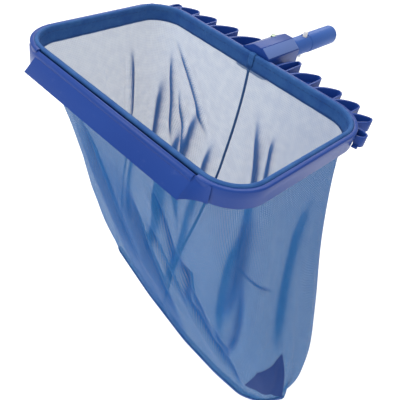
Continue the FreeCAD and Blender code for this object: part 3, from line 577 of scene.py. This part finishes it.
def recalculate(piece: bpy.types.Object, join: float = 0.0) -> None:
    """Turn a closed mesh's faces outwards.

    Args:
        piece: the object.
        join: points closer than this are joined first, if it is over 0.
    """
    select_only(piece)
    bpy.ops.object.mode_set(mode="EDIT")
    bpy.ops.mesh.select_all(action="SELECT")
    if join > 0:
        bpy.ops.mesh.remove_doubles(threshold=join)
    bpy.ops.mesh.normals_make_consistent(inside=False)
    bpy.ops.object.mode_set(mode="OBJECT")


def smooth(value: np.ndarray | float, low: float, high: float) -> np.ndarray:
    """A soft step.

    Args:
        value: what to carry over.
        low: where the step is 0.
        high: where the step is 1.

    Returns:
        The step, from 0 to 1.
    """
    share = np.clip((np.asarray(value, float) - low) / (high - low), 0, 1)
    return share * share * (3 - 2 * share)


# ---------------------------------------------------------------- the mouth's outline


@dataclass
class Mouth:
    """The rounded opening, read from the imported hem, and the line round it at any offset."""

    fold: float = 6.0 * MM
    corner: float = 41.0 * MM
    half_x: float = field(init=False)
    half_y: float = field(init=False)
    centre: Vector = field(init=False)
    top: float = field(init=False)
    bottom: float = field(init=False)

    def __post_init__(self) -> None:
        """Read the opening's sizes from the hem's box."""
        low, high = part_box("net_hem")
        self.half_x = (high.x - low.x) / 2 - self.fold
        self.half_y = (high.y - low.y) / 2 - self.fold
        self.centre = (low + high) / 2
        self.top = high.z
        self.bottom = low.z

    def length(self) -> float:
        """The opening's length round its edge."""
        return 4 * (self.half_x + self.half_y - 2 * self.corner) + 2 * math.pi * self.corner

    def trace(self, shares: np.ndarray, offset: float = 0.0) -> tuple[np.ndarray, np.ndarray]:
        """Points and outward normals at shares of the way round.

        Args:
            shares: 0 at the middle of the left side, then by the front to the right and back.
            offset: how far outside the opening the line runs.

        Returns:
            Points and normals, each as rows of x and y.
        """
        r = self.corner
        straight_y, straight_x = self.half_y - r, self.half_x - r
        quarter = math.pi / 2 * r
        total = self.length()
        places, normals = [], []
        for share in np.asarray(shares, float) % 1.0:
            way = share * total
            legs = [
                (straight_y, lambda d: ((-self.half_x, -d), (-1, 0))),
                (quarter, lambda d: self._bend(-straight_x, -straight_y, math.pi + d / r)),
                (2 * straight_x, lambda d: ((-straight_x + d, -self.half_y), (0, -1))),
                (quarter, lambda d: self._bend(straight_x, -straight_y, 1.5 * math.pi + d / r)),
                (2 * straight_y, lambda d: ((self.half_x, -straight_y + d), (1, 0))),
                (quarter, lambda d: self._bend(straight_x, straight_y, d / r)),
                (2 * straight_x, lambda d: ((straight_x - d, self.half_y), (0, 1))),
                (quarter, lambda d: self._bend(-straight_x, straight_y, 0.5 * math.pi + d / r)),
                (straight_y + 1e-9, lambda d: ((-self.half_x, straight_y - d), (-1, 0))),
            ]
            for length, place in legs:
                if way <= length:
                    break
                way -= length
            (x, y), normal = place(min(way, length))
            places.append((x + normal[0] * offset + self.centre.x, y + normal[1] * offset + self.centre.y))
            normals.append(normal)
        return np.array(places), np.array(normals)

    def _bend(self, x: float, y: float, angle: float) -> tuple[tuple[float, float], tuple[float, float]]:
        """A place on one rounded corner.

        Args:
            x: the corner's centre.
            y: the corner's centre.
            angle: the way round it, in radians.

        Returns:
            The point and its outward normal.
        """
        normal = (math.cos(angle), math.sin(angle))
        return (x + self.corner * normal[0], y + self.corner * normal[1]), normal


# ---------------------------------------------------------------- the hem


@dataclass
class Hem:
    """The woven tape folded over the rod, with two rows of stitches and the joint at the back."""

    mouth: Mouth
    columns: int = 420
    tape: float = 1.6 * MM
    lap: float = 10 * MM
    lap_shown: float = 9 * MM
    ripple: float = 0.35 * MM
    stitch_pitch: float = 7.0 * MM
    stitch_width: float = 0.55 * MM
    stitch_rise: float = 0.35 * MM
    stitch_rows: tuple[float, float] = (-7.2 * MM, -20.5 * MM)

    def profile(self) -> list[tuple[float, float]]:
        """The tape's outline.

        Returns:
            Offsets outside the opening, and heights from the top.
        """
        fold, tape = self.mouth.fold, self.tape
        depth = self.mouth.top - self.mouth.bottom
        roll = fold / 2
        points = [(0.0, -depth), (-0.1 * MM, -depth * 0.80)]
        points += [(0.25 * MM, -depth * 0.62), (0.15 * MM, -depth * 0.40)]
        for step in range(9):
            angle = math.pi - math.pi * step / 8
            points.append((roll + (roll - 0.02 * MM) * math.cos(angle), -roll + roll * math.sin(angle)))
        points += [(fold, -fold * 0.98), (fold - tape, -fold), (fold - tape, -roll)]
        points += [(roll, -tape * 1.02), (tape, -roll), (tape, -depth * 0.6), (tape, -depth)]
        return points

    def build(self, material: bpy.types.Material, thread: bpy.types.Material) -> None:
        """Make the hem, its joint tape and its stitches.

        Args:
            material: the tape's material.
            thread: the stitches' material.
        """
        outline = self.profile()
        shares = np.arange(self.columns) / self.columns
        rows = []
        run = [0.0]
        for (a, b), (c, d) in zip(outline, outline[1:]):
            run.append(run[-1] + math.hypot(c - a, d - b))
        for offset, height in outline + outline[:1]:
            places, normals = self.mouth.trace(shares, offset)
            ripple = self.ripple * np.sin(shares * 2 * math.pi * 37 + 1.3) * np.sin(shares * 2 * math.pi * 11)
            z = np.full(len(shares), self.mouth.top + height) + ripple * (height < -6 * MM) * 0.6
            places = places + normals * (ripple * (height > -8 * MM) * (height < -1 * MM))[:, None] * 0.4
            rows.append(np.column_stack([places, z]))
        points = np.array(rows)
        along = np.linspace(0, self.mouth.length(), self.columns + 1)
        run.append(run[-1] + self.tape)
        maps = np.array([[(u, v) for u in along] for v in run])
        piece = grid_piece("woven_hem", points, maps, closed=True)
        recalculate(piece, join=1e-6)
        piece.data.materials.append(material)
        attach(piece, "root")
        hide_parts("net_hem")
        stitches = self.stitches(thread)
        joint = self.joint(material)
        length = self.mouth.length() + self.lap
        LOG.info("hem: %d faces", len(piece.data.polygons))

    def stitches(self, material: bpy.types.Material) -> bpy.types.Object:
        """Two rows of short stitches round the inside of the tape, as one piece.

        Args:
            material: the thread's material.

        Returns:
            The joined stitches.
        """
        count = int(self.mouth.length() / self.stitch_pitch)
        vertices, faces = [], []
        length, width, rise = self.stitch_pitch * 0.62, self.stitch_width, self.stitch_rise
        for height in self.stitch_rows:
            places, normals = self.mouth.trace(np.arange(count) / count, 0.0)
            for (x, y), (nx, ny) in zip(places, normals):
                along = Vector((-ny, nx, 0))
                inward = Vector((-nx, -ny, 0))
                centre = Vector((x, y, self.mouth.top + height))
                first = len(vertices)
                for step, (reach, lift) in enumerate(((-0.5, -0.2), (-0.25, 0.8), (0.25, 0.8), (0.5, -0.2))):
                    for up in (-0.5, 0.5):
                        vertices.append(centre + along * (length * reach) + inward * (rise * lift + 0.1 * MM)
                                        + Vector((0, 0, width * up)))
                    vertices.append(centre + along * (length * reach) - inward * (0.3 * MM))
                for step in range(3):
                    a, b = first + step * 3, first + step * 3 + 3
                    faces += [(a, b, b + 1, a + 1), (a + 1, b + 1, b + 2, a + 2), (a + 2, b + 2, b, a)]
                faces += [(first, first + 1, first + 2), (first + 11, first + 10, first + 9)]
        mesh = bpy.data.meshes.new("hem_stitches")
        mesh.from_pydata(vertices, [], faces)
        piece = bpy.data.objects.new("hem_stitches", mesh)
        bpy.context.scene.collection.objects.link(piece)
        recalculate(piece)
        piece.data.materials.append(material)
        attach(piece, "root")
        return piece

    def joint(self, material: bpy.types.Material) -> bpy.types.Object:
        """The lap where the tape's two ends meet, at the middle of the back.

        Args:
            material: the tape's material.

        Returns:
            The lap.
        """
        outline = [p for p in self.profile() if p[1] > -self.mouth.top + self.mouth.bottom][:13]
        half = self.lap_shown / 2 / self.mouth.length()
        shares = np.linspace(MIDDLE_BACK - half, MIDDLE_BACK + half, 5)
        rows = []
        for offset, height in outline:
            places, normals = self.mouth.trace(shares, offset - (0.7 * MM if offset < 3 * MM else -0.5 * MM))
            edge = np.array([0.0, 0.45, 0.6, 0.45, 0.0]) * MM * (height > -3 * MM)
            rows.append(np.column_stack([places, np.full(5, self.mouth.top + height) + edge]))
        along = np.linspace(0, self.lap_shown, 5)
        maps = np.array([[(u, v * 2 * MM) for u in along] for v in range(len(rows))])
        piece = grid_piece("hem_lap", np.array(rows), maps, closed=False)
        piece.data.materials.append(material)
        apply_modifier(piece, "SOLIDIFY", thickness=0.5 * MM, offset=1.0)
        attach(piece, "root")
        return piece


# ---------------------------------------------------------------- the bag


@dataclass(frozen=True)
class Pleat:
    """A soft crease that runs down the cloth: the way round at its top, middle and end, and its size."""

    ways: Triple
    falls: tuple[float, float]
    width: float
    depth: float

    def middle(self, fall: np.ndarray) -> np.ndarray:
        """Where the crease runs.

        Args:
            fall: the ways down.

        Returns:
            The way round at each.
        """
        share = np.clip((fall - self.falls[0]) / (self.falls[1] - self.falls[0]), 0, 1)
        top, centre, end = self.ways
        return top * (1 - share) ** 2 + (4 * centre - top - end) * share * (1 - share) + end * share ** 2

    def life(self, fall: np.ndarray) -> np.ndarray:
        """How strong the crease is, fading in and out at its ends.

        Args:
            fall: the ways down.

        Returns:
            Its strength at each, from 0 to 1.
        """
        start, end = self.falls
        fade = 0.3 * (end - start)
        return smooth(fall, start, start + fade) * (1 - smooth(fall, end - fade, end))


PLEATS = (
    # inside, at the back and the left
    Pleat((0.952, 0.948, 0.94), (0.06, 0.42), 5 * MM, 7 * MM),
    Pleat((0.886, 0.865, 0.848), (0.07, 0.42), 6 * MM, 9 * MM),
    Pleat((0.890, 0.878, 0.852), (0.16, 0.60), 9 * MM, 11 * MM),
    Pleat((0.885, 0.832, 0.792), (0.03, 0.30), 5 * MM, 7 * MM),
    Pleat((0.862, 0.832, 0.808), (0.18, 0.48), 5 * MM, 8 * MM),
    Pleat((0.812, 0.822, 0.824), (0.18, 0.62), 9 * MM, 11 * MM),
    Pleat((0.780, 0.786, 0.790), (0.26, 0.62), 8 * MM, 9 * MM),
    Pleat((0.724, 0.704, 0.708), (0.09, 0.50), 7 * MM, 10 * MM),
    Pleat((0.690, 0.691, 0.686), (0.12, 0.36), 5 * MM, 7 * MM),
    Pleat((0.850, 0.835, 0.845), (0.45, 0.90), 9 * MM, 9 * MM),
    Pleat((0.800, 0.790, 0.810), (0.50, 0.95), 8 * MM, 8 * MM),
    Pleat((0.700, 0.710, 0.690), (0.45, 0.92), 9 * MM, 8 * MM),
    Pleat((0.845, 0.826, 0.800), (0.30, 0.70), 7 * MM, 8 * MM),
    Pleat((0.836, 0.846, 0.836), (0.34, 0.74), 8 * MM, 9 * MM),
    Pleat((0.900, 0.898, 0.880), (0.40, 0.85), 9 * MM, 9 * MM),
    Pleat((0.940, 0.925, 0.900), (0.45, 0.92), 9 * MM, 8 * MM),
    # outside, at the front and the right
    Pleat((0.240, 0.238, 0.262), (0.22, 0.80), 10 * MM, 10 * MM),
    Pleat((0.425, 0.405, 0.352), (0.00, 0.52), 15 * MM, 13 * MM),
    Pleat((0.408, 0.380, 0.335), (0.28, 0.78), 7 * MM, 7 * MM),
    Pleat((0.400, 0.425, 0.450), (0.24, 0.38), 3 * MM, 2 * MM),
    Pleat((0.310, 0.318, 0.335), (0.30, 0.72), 8 * MM, 8 * MM),
    Pleat((0.350, 0.345, 0.375), (0.55, 0.92), 8 * MM, 7 * MM),
    Pleat((0.160, 0.175, 0.195), (0.05, 0.75), 9 * MM, 9 * MM),
    Pleat((0.285, 0.300, 0.290), (0.12, 0.46), 6 * MM, 6 * MM),
    Pleat((0.262, 0.282, 0.306), (0.30, 0.66), 5 * MM, 6 * MM),
    Pleat((0.330, 0.312, 0.300), (0.34, 0.62), 5 * MM, 5 * MM),
    Pleat((0.300, 0.322, 0.350), (0.50, 0.84), 6 * MM, 6 * MM),
    Pleat((0.620, 0.640, 0.630), (0.20, 0.80), 9 * MM, 7 * MM),
)


@dataclass
class Bag:
    """The hanging net: one cloth from the hem to the sewn toe, drawn to one side by its own weight."""

    mouth: Mouth
    columns: int = 380
    rows: int = 170
    toe_left: float = -102 * MM
    toe_right: float = 284 * MM
    toe_gap: float = 1.6 * MM
    toe_line: tuple[tuple[float, float], ...] = (
        (0.0, -408), (0.24, -446), (0.5, -473), (0.7, -477), (0.84, -470), (0.93, -440), (1.0, -386))
    pleats: tuple[Pleat, ...] = PLEATS
    centre_seam: float = MIDDLE_BACK
    seam_width: float = 3.8 * MM
    tape_wall: float = 0.6 * MM
    strip_map_width: float = 5 * MM
    patch_lift: float = 0.9 * MM
    map_drop: float = 0.45
    seam_drift: float = 0.045
    left_swell: float = 24 * MM
    left_tuck: float = 9 * MM
    right_swell: float = 47 * MM
    panel_swell: float = 8 * MM

    def toe_height(self, share: np.ndarray) -> np.ndarray:
        """Height of the toe's edge.

        Args:
            share: the way from its left end to its right.

        Returns:
            The height at each.
        """
        xs = [p[0] for p in self.toe_line]
        zs = [p[1] * MM for p in self.toe_line]
        fine = np.linspace(0, 1, 201)
        line = np.interp(fine, xs, zs)
        kernel = np.hanning(21) / np.hanning(21).sum()
        padded = np.concatenate([2 * line[0] - line[10:0:-1], line, 2 * line[-1] - line[-2:-12:-1]])
        return np.interp(share, fine, np.convolve(padded, kernel, "valid")) + self.mouth.top

    def shell(self, shares: np.ndarray, falls: np.ndarray) -> np.ndarray:
        """The bag without its creases.

        Args:
            shares: the way round, 0 at the middle of the left side.
            falls: the way down, 0 at the hem and 1 at the toe.

        Returns:
            Points as falls by shares by three.
        """
        top, normals = self.mouth.trace(shares, 0.0)
        around = np.asarray(shares, float) % 1.0
        half_way = np.where(around < 0.5, around * 2, 2 - around * 2)
        side = np.where(around < 0.5, -1.0, 1.0)
        along = np.interp(half_way, (0.0, 0.12, 0.21, 0.30, 0.70, 0.79, 0.88, 1.0),
                          (0.0, 0.025, 0.06, 0.15, 0.80, 0.89, 0.945, 1.0))
        ends = np.clip(np.minimum(along, 1 - along) / 0.02, 0, 1)
        toe = np.column_stack([
            self.toe_left + (self.toe_right - self.toe_left) * along,
            self.mouth.centre.y + side * self.toe_gap * ends,
            self.toe_height(along)])
        start = np.column_stack([top, np.full(len(around), self.mouth.bottom + 0.4 * MM)])
        fall = np.asarray(falls, float)[:, None]
        points = start[None] * (1 - fall[..., None]) + toe[None] * fall[..., None]
        late = np.sin(math.pi * fall ** 2)
        front_left = np.exp(-((half_way - 0.18) / 0.14) ** 2)
        back_right = np.exp(-((half_way - 0.82) / 0.16) ** 2)
        back_share = 0.72 + 0.28 * side * (1 - smooth(half_way, 0.88, 1.0))
        early = np.sin(math.pi * np.clip(fall * 1.7, 0, 1))
        points[..., 0] -= late * (self.left_swell * front_left)[None]
        points[..., 0] += early * (self.left_tuck * front_left)[None]
        points[..., 0] += late * (self.right_swell * back_right * back_share)[None]
        points[..., 1] += np.sin(math.pi * fall ** 0.85) * (side * np.abs(normals[:, 1]) * self.panel_swell
                                                                 * (1 - 1.5 * front_left))[None]
        return points

    def creases(self, shares: np.ndarray, falls: np.ndarray) -> tuple[np.ndarray, np.ndarray]:
        """Depth of the creases, and how gathered the cloth is; the gather also paints shade into the creases.

        Args:
            shares: the way round.
            falls: the way down.

        Returns:
            Depth in metres and gather from 0 to 1, each as falls by shares; the gather stands for denser
            cloth and painted shade.
        """
        s, t = np.meshgrid(np.asarray(shares, float), np.asarray(falls, float))
        length = self.mouth.length()
        depth, gather_and_shade = np.zeros_like(s), np.zeros_like(s)
        for pleat in self.pleats:
            away = (s - pleat.middle(t) + 0.5) % 1.0 - 0.5
            reach = np.abs(away) * length * (1 - 0.35 * t) / pleat.width
            life = pleat.life(t)
            depth += pleat.depth * life * (np.exp(-reach ** 1.3) - 0.4 * np.exp(-((reach - 2.0) ** 2) / 0.9))
            # along each crease the cloth is denser, and painted darker as shade
            gather_and_shade += life * np.exp(-(reach * 1.7) ** 2)
        fine = (np.sin(s * 2 * math.pi * 19 + 5 * t) * np.sin(t * 8 + s * 17) * 1.0
                + np.sin(s * 2 * math.pi * 31 - 9 * t + 1.0) * np.sin(t * 15 - s * 9) * 0.6) * MM
        depth += fine * smooth(t, 0.05, 0.5) * (1 - smooth(t, 0.97, 1.0))
        # a band down the front, left of its middle, made darker and denser from near the hem downwards
        strip = np.abs(s - 0.185 - 0.035 * t)
        gather_and_shade += 0.5 * (1 - smooth(strip, 0.045, 0.06)) * smooth(t, 0.02, 0.4)
        # painted shade: a broad darker, denser patch round the back right corner, strongest at the hem and
        # gone half way down
        gather_and_shade += 0.16 * np.exp(-((s - 0.62) / 0.09) ** 2) * (1 - smooth(t, 0.3, 0.6))
        return depth, np.clip(gather_and_shade, 0, 1)

    def surface(self, shares: np.ndarray, falls: np.ndarray,
                lift: float = 0.0) -> tuple[np.ndarray, np.ndarray]:
        """The creased cloth and its gather with painted shade, or a layer lifted off it.

        Args:
            shares: the way round.
            falls: the way down.
            lift: how far outside the cloth the layer lies.

        Returns:
            Points, and gather with painted shade.
        """
        step = 1e-3
        here = self.shell(shares, falls)
        beside = self.shell(shares + step, falls) - self.shell(shares - step, falls)
        under = self.shell(shares, np.minimum(falls + step, 1.0))
        below = under - self.shell(shares, np.maximum(falls - step, 0.0))
        normal = np.cross(below, beside)
        size = np.linalg.norm(normal, axis=2, keepdims=True)
        normal = np.where(size > 1e-12, normal / np.maximum(size, 1e-12), 0)
        depth, gather_and_shade = self.creases(shares, falls)
        fade = 1 - smooth(np.asarray(falls, float), 0.94, 1.0)
        inward = depth * fade[:, None] - lift
        return here - normal * inward[..., None], gather_and_shade

    def build(self, finishes: Finishes) -> None:
        """Make the cloth, its seams and its corner patch.

        Args:
            finishes: the materials.
        """
        shares = np.arange(self.columns) / self.columns
        falls = np.linspace(0, 1, self.rows)
        points, gather_and_shade = self.surface(shares, falls)
        along = np.linspace(0, self.mouth.length(), self.columns + 1)
        drop = (self.mouth.bottom - self.toe_height(np.array([0.5]))[0])
        maps = np.array([[(u, v * drop) for u in along] for v in falls])
        piece = grid_piece("net_bag", points, maps, closed=True)
        # gather per point: denser cloth, and painted shade in the creases
        layer = piece.data.attributes.new("gather_and_shade", "FLOAT", "POINT")
        layer.data.foreach_set("value", gather_and_shade.ravel())
        piece.data.materials.append(finishes[Finish.MESH])
        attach(piece, "root")
        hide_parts("bag_front", "bag_right", "bag_left", "bag_back_right", "bag_back_left", "bag_toe")
        across = np.linspace(-0.5, 0.5, 4) * self.seam_width / self.mouth.length()
        tape = self.strip("centre_seam", finishes[Finish.SEAM], "back_seam_tape", across + self.centre_seam,
                          np.linspace(0, 0.995, 120), self.seam_drift, -0.5 * MM)
        binding = self.binding(finishes[Finish.BINDING])
        patch = self.patch(finishes[Finish.PATCH])
        area = sum(p.area for p in piece.data.polygons)
        flat = (self.mouth.length(), max(area / self.mouth.length(), drop) * 1.02)
        LOG.info("bag: %d faces, %.3f square metres", len(piece.data.polygons), area)

    def strip(self, name: str, material: bpy.types.Material, node: str | None, shares: np.ndarray,
              falls: np.ndarray, drift: float, lift: float) -> bpy.types.Object:
        """A narrow tape that lies along the cloth.

        Args:
            name: the new piece's name.
            material: its material.
            node: the part that it stands for, if any.
            shares: the ways round that it covers.
            falls: the ways down that it covers.
            drift: how far round it wanders on its way down.
            lift: how far outside the cloth it lies.

        Returns:
            The tape.
        """
        points = np.array([self.surface(shares + drift * smooth(v, 0.0, 1.0), np.array([v]), lift)[0][0]
                           for v in falls])
        step = self.strip_map_width / max(len(shares) - 1, 1)
        maps = np.array([[(u * step, v * self.map_drop) for u in range(len(shares))] for v in falls])
        piece = grid_piece(name, points, maps, closed=False)
        apply_modifier(piece, "SOLIDIFY", thickness=self.tape_wall, offset=0.0)
        piece.data.materials.append(material)
        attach(piece, "root")
        if node:
            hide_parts(node)
        return piece

    def binding(self, material: bpy.types.Material) -> bpy.types.Object:
        """The tape folded over the toe's two layers.

        Args:
            material: its material.

        Returns:
            The binding.
        """
        shares = np.linspace(0.004, 0.496, 150)
        front = self.shell(shares, np.array([0.984, 0.992, 1.0]))
        back = self.shell(1 - shares, np.array([1.0, 0.992, 0.984]))
        rows = [
            front[0] + [0, -0.9 * MM, 0],
            front[1] + [0, -1.0 * MM, 0],
            front[2] + [0, -0.8 * MM, -1.2 * MM],
            back[0] + [0, 0.8 * MM, -1.2 * MM],
            back[1] + [0, 1.0 * MM, 0],
            back[2] + [0, 0.9 * MM, 0],
        ]
        run = [0, 4, 8, 11, 15, 19]
        maps = np.array([[(u, v * MM) for u in np.linspace(0, 0.42, len(shares))] for v in run])
        piece = grid_piece("toe_binding", np.array(rows), maps, closed=False)
        apply_modifier(piece, "SOLIDIFY", thickness=0.5 * MM, offset=0.0)
        piece.data.materials.append(material)
        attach(piece, "root")
        return piece

    def patch(self, material: bpy.types.Material) -> bpy.types.Object:
        """The doubled piece of net sewn over the toe's right corner.

        Args:
            material: its material.

        Returns:
            The patch.
        """
        side = np.linspace(0, 1, 17)
        rows, maps = [], []
        for down in side:
            row, line = [], []
            for across in side:
                way = (1 - down) * (0.402 + 0.060 * across) + down * (0.378 + 0.114 * across)
                fall = (1 - down) * (0.715 - 0.045 * across) + down * (0.850 + 0.135 * across)
                row.append(self.surface(np.array([way]), np.array([fall]), self.patch_lift)[0][0, 0])
                line.append((way * self.mouth.length(), fall * self.map_drop))
            rows.append(row)
            maps.append(line)
        piece = grid_piece("toe_patch_net", np.array(rows), np.array(maps), closed=False)
        layer = piece.data.attributes.new("gather_and_shade", "FLOAT", "POINT")
        layer.data.foreach_set("value", [0.5] * len(piece.data.vertices))
        piece.data.materials.append(material)
        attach(piece, "root")
        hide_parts("toe_patch")
        return piece


# ---------------------------------------------------------------- moulded and metal parts


@dataclass
class MouldedParts:
    """The hoop, blade, combs and handle, each a softened copy of its own part."""

    edges: tuple[tuple[str, str, float, Finish], ...] = (
        ("rim_hoop", "moulded_hoop", 0.5 * MM, Finish.FRAME),
        ("scoop_blade", "moulded_blade", 0.35 * MM, Finish.FRAME),
        ("back_comb_right", "comb_right", 0.45 * MM, Finish.FRAME),
        ("back_comb_left", "comb_left", 0.45 * MM, Finish.FRAME),
        ("handle_cover", "housing_cover", 0.7 * MM, Finish.FRAME),
        ("handle_neck", "housing_neck", 0.5 * MM, Finish.FRAME),
        ("spigot_tube", "pole_spigot_tube", 0.4 * MM, Finish.SPIGOT),
        ("label_plate", "blank_plate", 0.2 * MM, Finish.PLATE),
        ("clamp_bolt", "clamp_bolt_zinc", 0.25 * MM, Finish.STEEL),
        ("clamp_washer", "clamp_washer_zinc", 0.1 * MM, Finish.STEEL),
        ("clamp_nut", "clamp_nut_zinc", 0.2 * MM, Finish.STEEL),
        ("hoop_screws", "hoop_screws_zinc", 0.15 * MM, Finish.STEEL),
        ("blade_screws", "blade_screws_zinc", 0.15 * MM, Finish.STEEL),
        ("comb_screws", "comb_screws_zinc", 0.15 * MM, Finish.STEEL),
        ("cover_screws", "cover_screws_zinc", 0.15 * MM, Finish.STEEL),
        ("spring_bend", "spring_bend_strip", 0.08 * MM, Finish.SPRING),
        ("hem_rod", "hem_rod_drawn", 0.0, Finish.ROD),
    )

    def build(self, finishes: Finishes) -> None:
        """Make every fixed hard part.

        Args:
            finishes: the materials.
        """
        for node, name, edge, finish in self.edges:
            piece = refined(node, name, edge)
            piece.data.materials.append(finishes[finish])
            LOG.info("%s: %d faces", name, len(piece.data.polygons))


@dataclass
class SpringButtons:
    """The two spring legs and their buttons, each pair moving with its own body."""

    pairs: tuple[tuple[str, str], ...] = (("top", "top_catch"), ("bottom", "bottom_catch"))
    button_edge: float = 0.35 * MM
    strip_edge: float = 0.08 * MM

    def build(self, finishes: Finishes) -> None:
        """Make both buttons and both legs.

        Args:
            finishes: the materials.
        """
        for side, body in self.pairs:
            button = refined(f"button_{side}", f"white_button_{side}", self.button_edge, body)
            button.data.materials.append(finishes[Finish.BUTTON])
            leg = refined(f"spring_leg_{side}", f"spring_leg_strip_{side}", self.strip_edge, body)
            leg.data.materials.append(finishes[Finish.SPRING])
            LOG.info("button and leg: %s", side)


# ---------------------------------------------------------------- studio


@dataclass(frozen=True)
class Lamp:
    """One soft square lamp: its place, what it points at, its side and its power in watts."""

    name: str
    place: Triple
    aim: Triple
    side: float
    power: float

    def build(self) -> None:
        """Hang the lamp."""
        data = bpy.data.lights.new(self.name, "AREA")
        data.size = self.side
        data.energy = self.power
        lamp = bpy.data.objects.new(self.name, data)
        bpy.context.scene.collection.objects.link(lamp)
        lamp.location = self.place
        lamp.rotation_mode = "QUATERNION"
        lamp.rotation_quaternion = (Vector(self.aim) - Vector(self.place)).to_track_quat("-Z", "Y")


@dataclass
class Studio:
    """The pale floor, the soft lights and the camera."""

    floor_drop: float = 0.07
    camera_place: Triple = (0.370, -0.701, 0.3235)
    camera_aim: Triple = (0.0776, -0.3067, -0.1176)
    camera_roll: float = 12.9
    lens: float = 46.57
    floor_side: float = 12.0
    floor_glow: float = 0.35
    surround: float = 0.6
    lamps: tuple[Lamp, ...] = (
        Lamp("key", (-0.9, -1.3, 1.9), (0.0, -0.28, -0.1), 1.5, 32.0),
        Lamp("fill", (1.9, -0.6, 1.0), (0.0, -0.28, -0.1), 1.6, 5.0),
        Lamp("rim", (-1.1, 1.05, 1.35), (0.0, -0.3, -0.05), 1.4, 18.0),
    )

    def build(self) -> None:
        """Set up everything round the object."""
        self.camera()
        self.floor()
        for lamp in self.lamps:
            lamp.build()
        world = bpy.data.worlds.new("studio")
        world.use_nodes = True
        background = world.node_tree.nodes["Background"]
        background.inputs["Color"].default_value = (1.0, 1.0, 1.0, 1)
        background.inputs["Strength"].default_value = self.surround
        bpy.context.scene.world = world
        bpy.context.scene.view_settings.view_transform = "Standard"

    def camera(self) -> None:
        """Place the camera and turn it about its own axis."""
        data = bpy.data.cameras.new("camera")
        data.lens = self.lens
        data.clip_start = 0.02
        eye = bpy.data.objects.new("camera", data)
        bpy.context.scene.collection.objects.link(eye)
        eye.location = self.camera_place
        sight = Vector(self.camera_aim) - Vector(self.camera_place)
        roll = Quaternion((0, 0, 1), math.radians(self.camera_roll))
        eye.rotation_mode = "QUATERNION"
        eye.rotation_quaternion = sight.to_track_quat("-Z", "Y") @ roll
        bpy.context.scene.camera = eye

    def floor(self) -> None:
        """A pale floor below the bag."""
        low = Vector(CAD_BOX[0]).z - self.floor_drop
        bpy.ops.mesh.primitive_plane_add(size=self.floor_side, location=(0, 0, low))
        floor = bpy.context.active_object
        floor.name = "floor"
        made = bpy.data.materials.new("pale_floor")
        made.use_nodes = True
        shader = made.node_tree.nodes["Principled BSDF"]
        shader.inputs["Base Color"].default_value = (0.9, 0.9, 0.9, 1)
        shader.inputs["Roughness"].default_value = 0.8
        shader.inputs["Emission Color"].default_value = (1, 1, 1, 1)
        shader.inputs["Emission Strength"].default_value = self.floor_glow
        floor.data.materials.append(made)


def build_finishes() -> Finishes:
    """Make every material.

    Returns:
        Material by finish.
    """
    groups = Groups(build_moulding_group(), build_weave_group(), build_rib_group())
    blue, navy = (0.014, 0.058, 0.29), (0.009, 0.040, 0.23)
    finishes = {
        Finish.FRAME: Moulded("royal_blue_moulding", blue, navy, 0.32, 0.04, gloss=0.2),
        Finish.SPIGOT: Moulded("spigot_moulding", (0.035, 0.12, 0.42), (0.025, 0.085, 0.34), 0.42),
        Finish.PLATE: Moulded("blank_plate_satin", (0.115, 0.19, 0.46), (0.10, 0.165, 0.42), 0.45, 0.0),
        Finish.BUTTON: Moulded("white_button_nylon", (0.85, 0.84, 0.82), (0.75, 0.74, 0.72), 0.4, 0.1),
        Finish.STEEL: Moulded("zinc_passivated", (0.42, 0.5, 0.36), (0.3, 0.36, 0.3), 0.38, 0.0, 0.08, 0.9),
        Finish.SPRING: Moulded("spring_strip", (0.5, 0.5, 0.52), (0.4, 0.4, 0.42), 0.3, 0.0, 0.04, 1.0),
        Finish.ROD: Moulded("drawn_rod", (0.7, 0.7, 0.68), (0.6, 0.6, 0.58), 0.5, 0.0),
        Finish.THREAD: Moulded("stitch_thread", (0.03, 0.09, 0.28), (0.02, 0.07, 0.24), 0.7, 0.0, 0.3),
        Finish.MESH: OpenMesh("open_blue_net", (0.022, 0.150, 0.40), (0.003, 0.095, 0.33)),
        Finish.PATCH: OpenMesh("doubled_blue_net", (0.014, 0.055, 0.22), (0.012, 0.045, 0.2), 0.0026,
                          (0.05, 0.1, 0.28), 0.8, 0.98, 0.1),
        Finish.HEM: Tape("hem_weave", (0.040, 0.140, 0.37), (0.020, 0.085, 0.30)),
        Finish.SEAM: Tape("seam_weave", (0.030, 0.10, 0.25), (0.020, 0.07, 0.20)),
        Finish.BINDING: Tape("binding_weave", (0.03, 0.11, 0.36), (0.022, 0.085, 0.30)),
    }
    return {name: finish.build(groups) for name, finish in finishes.items()}


def main() -> None:
    """Build the studio, the finishes and every piece in order."""
    Studio().build()
    finishes = build_finishes()
    mouth = Mouth()
    MouldedParts().build(finishes)
    SpringButtons().build(finishes)
    Hem(mouth).build(finishes[Finish.HEM], finishes[Finish.THREAD])
    Bag(mouth).build(finishes)


if __name__ == "__main__":
    main()
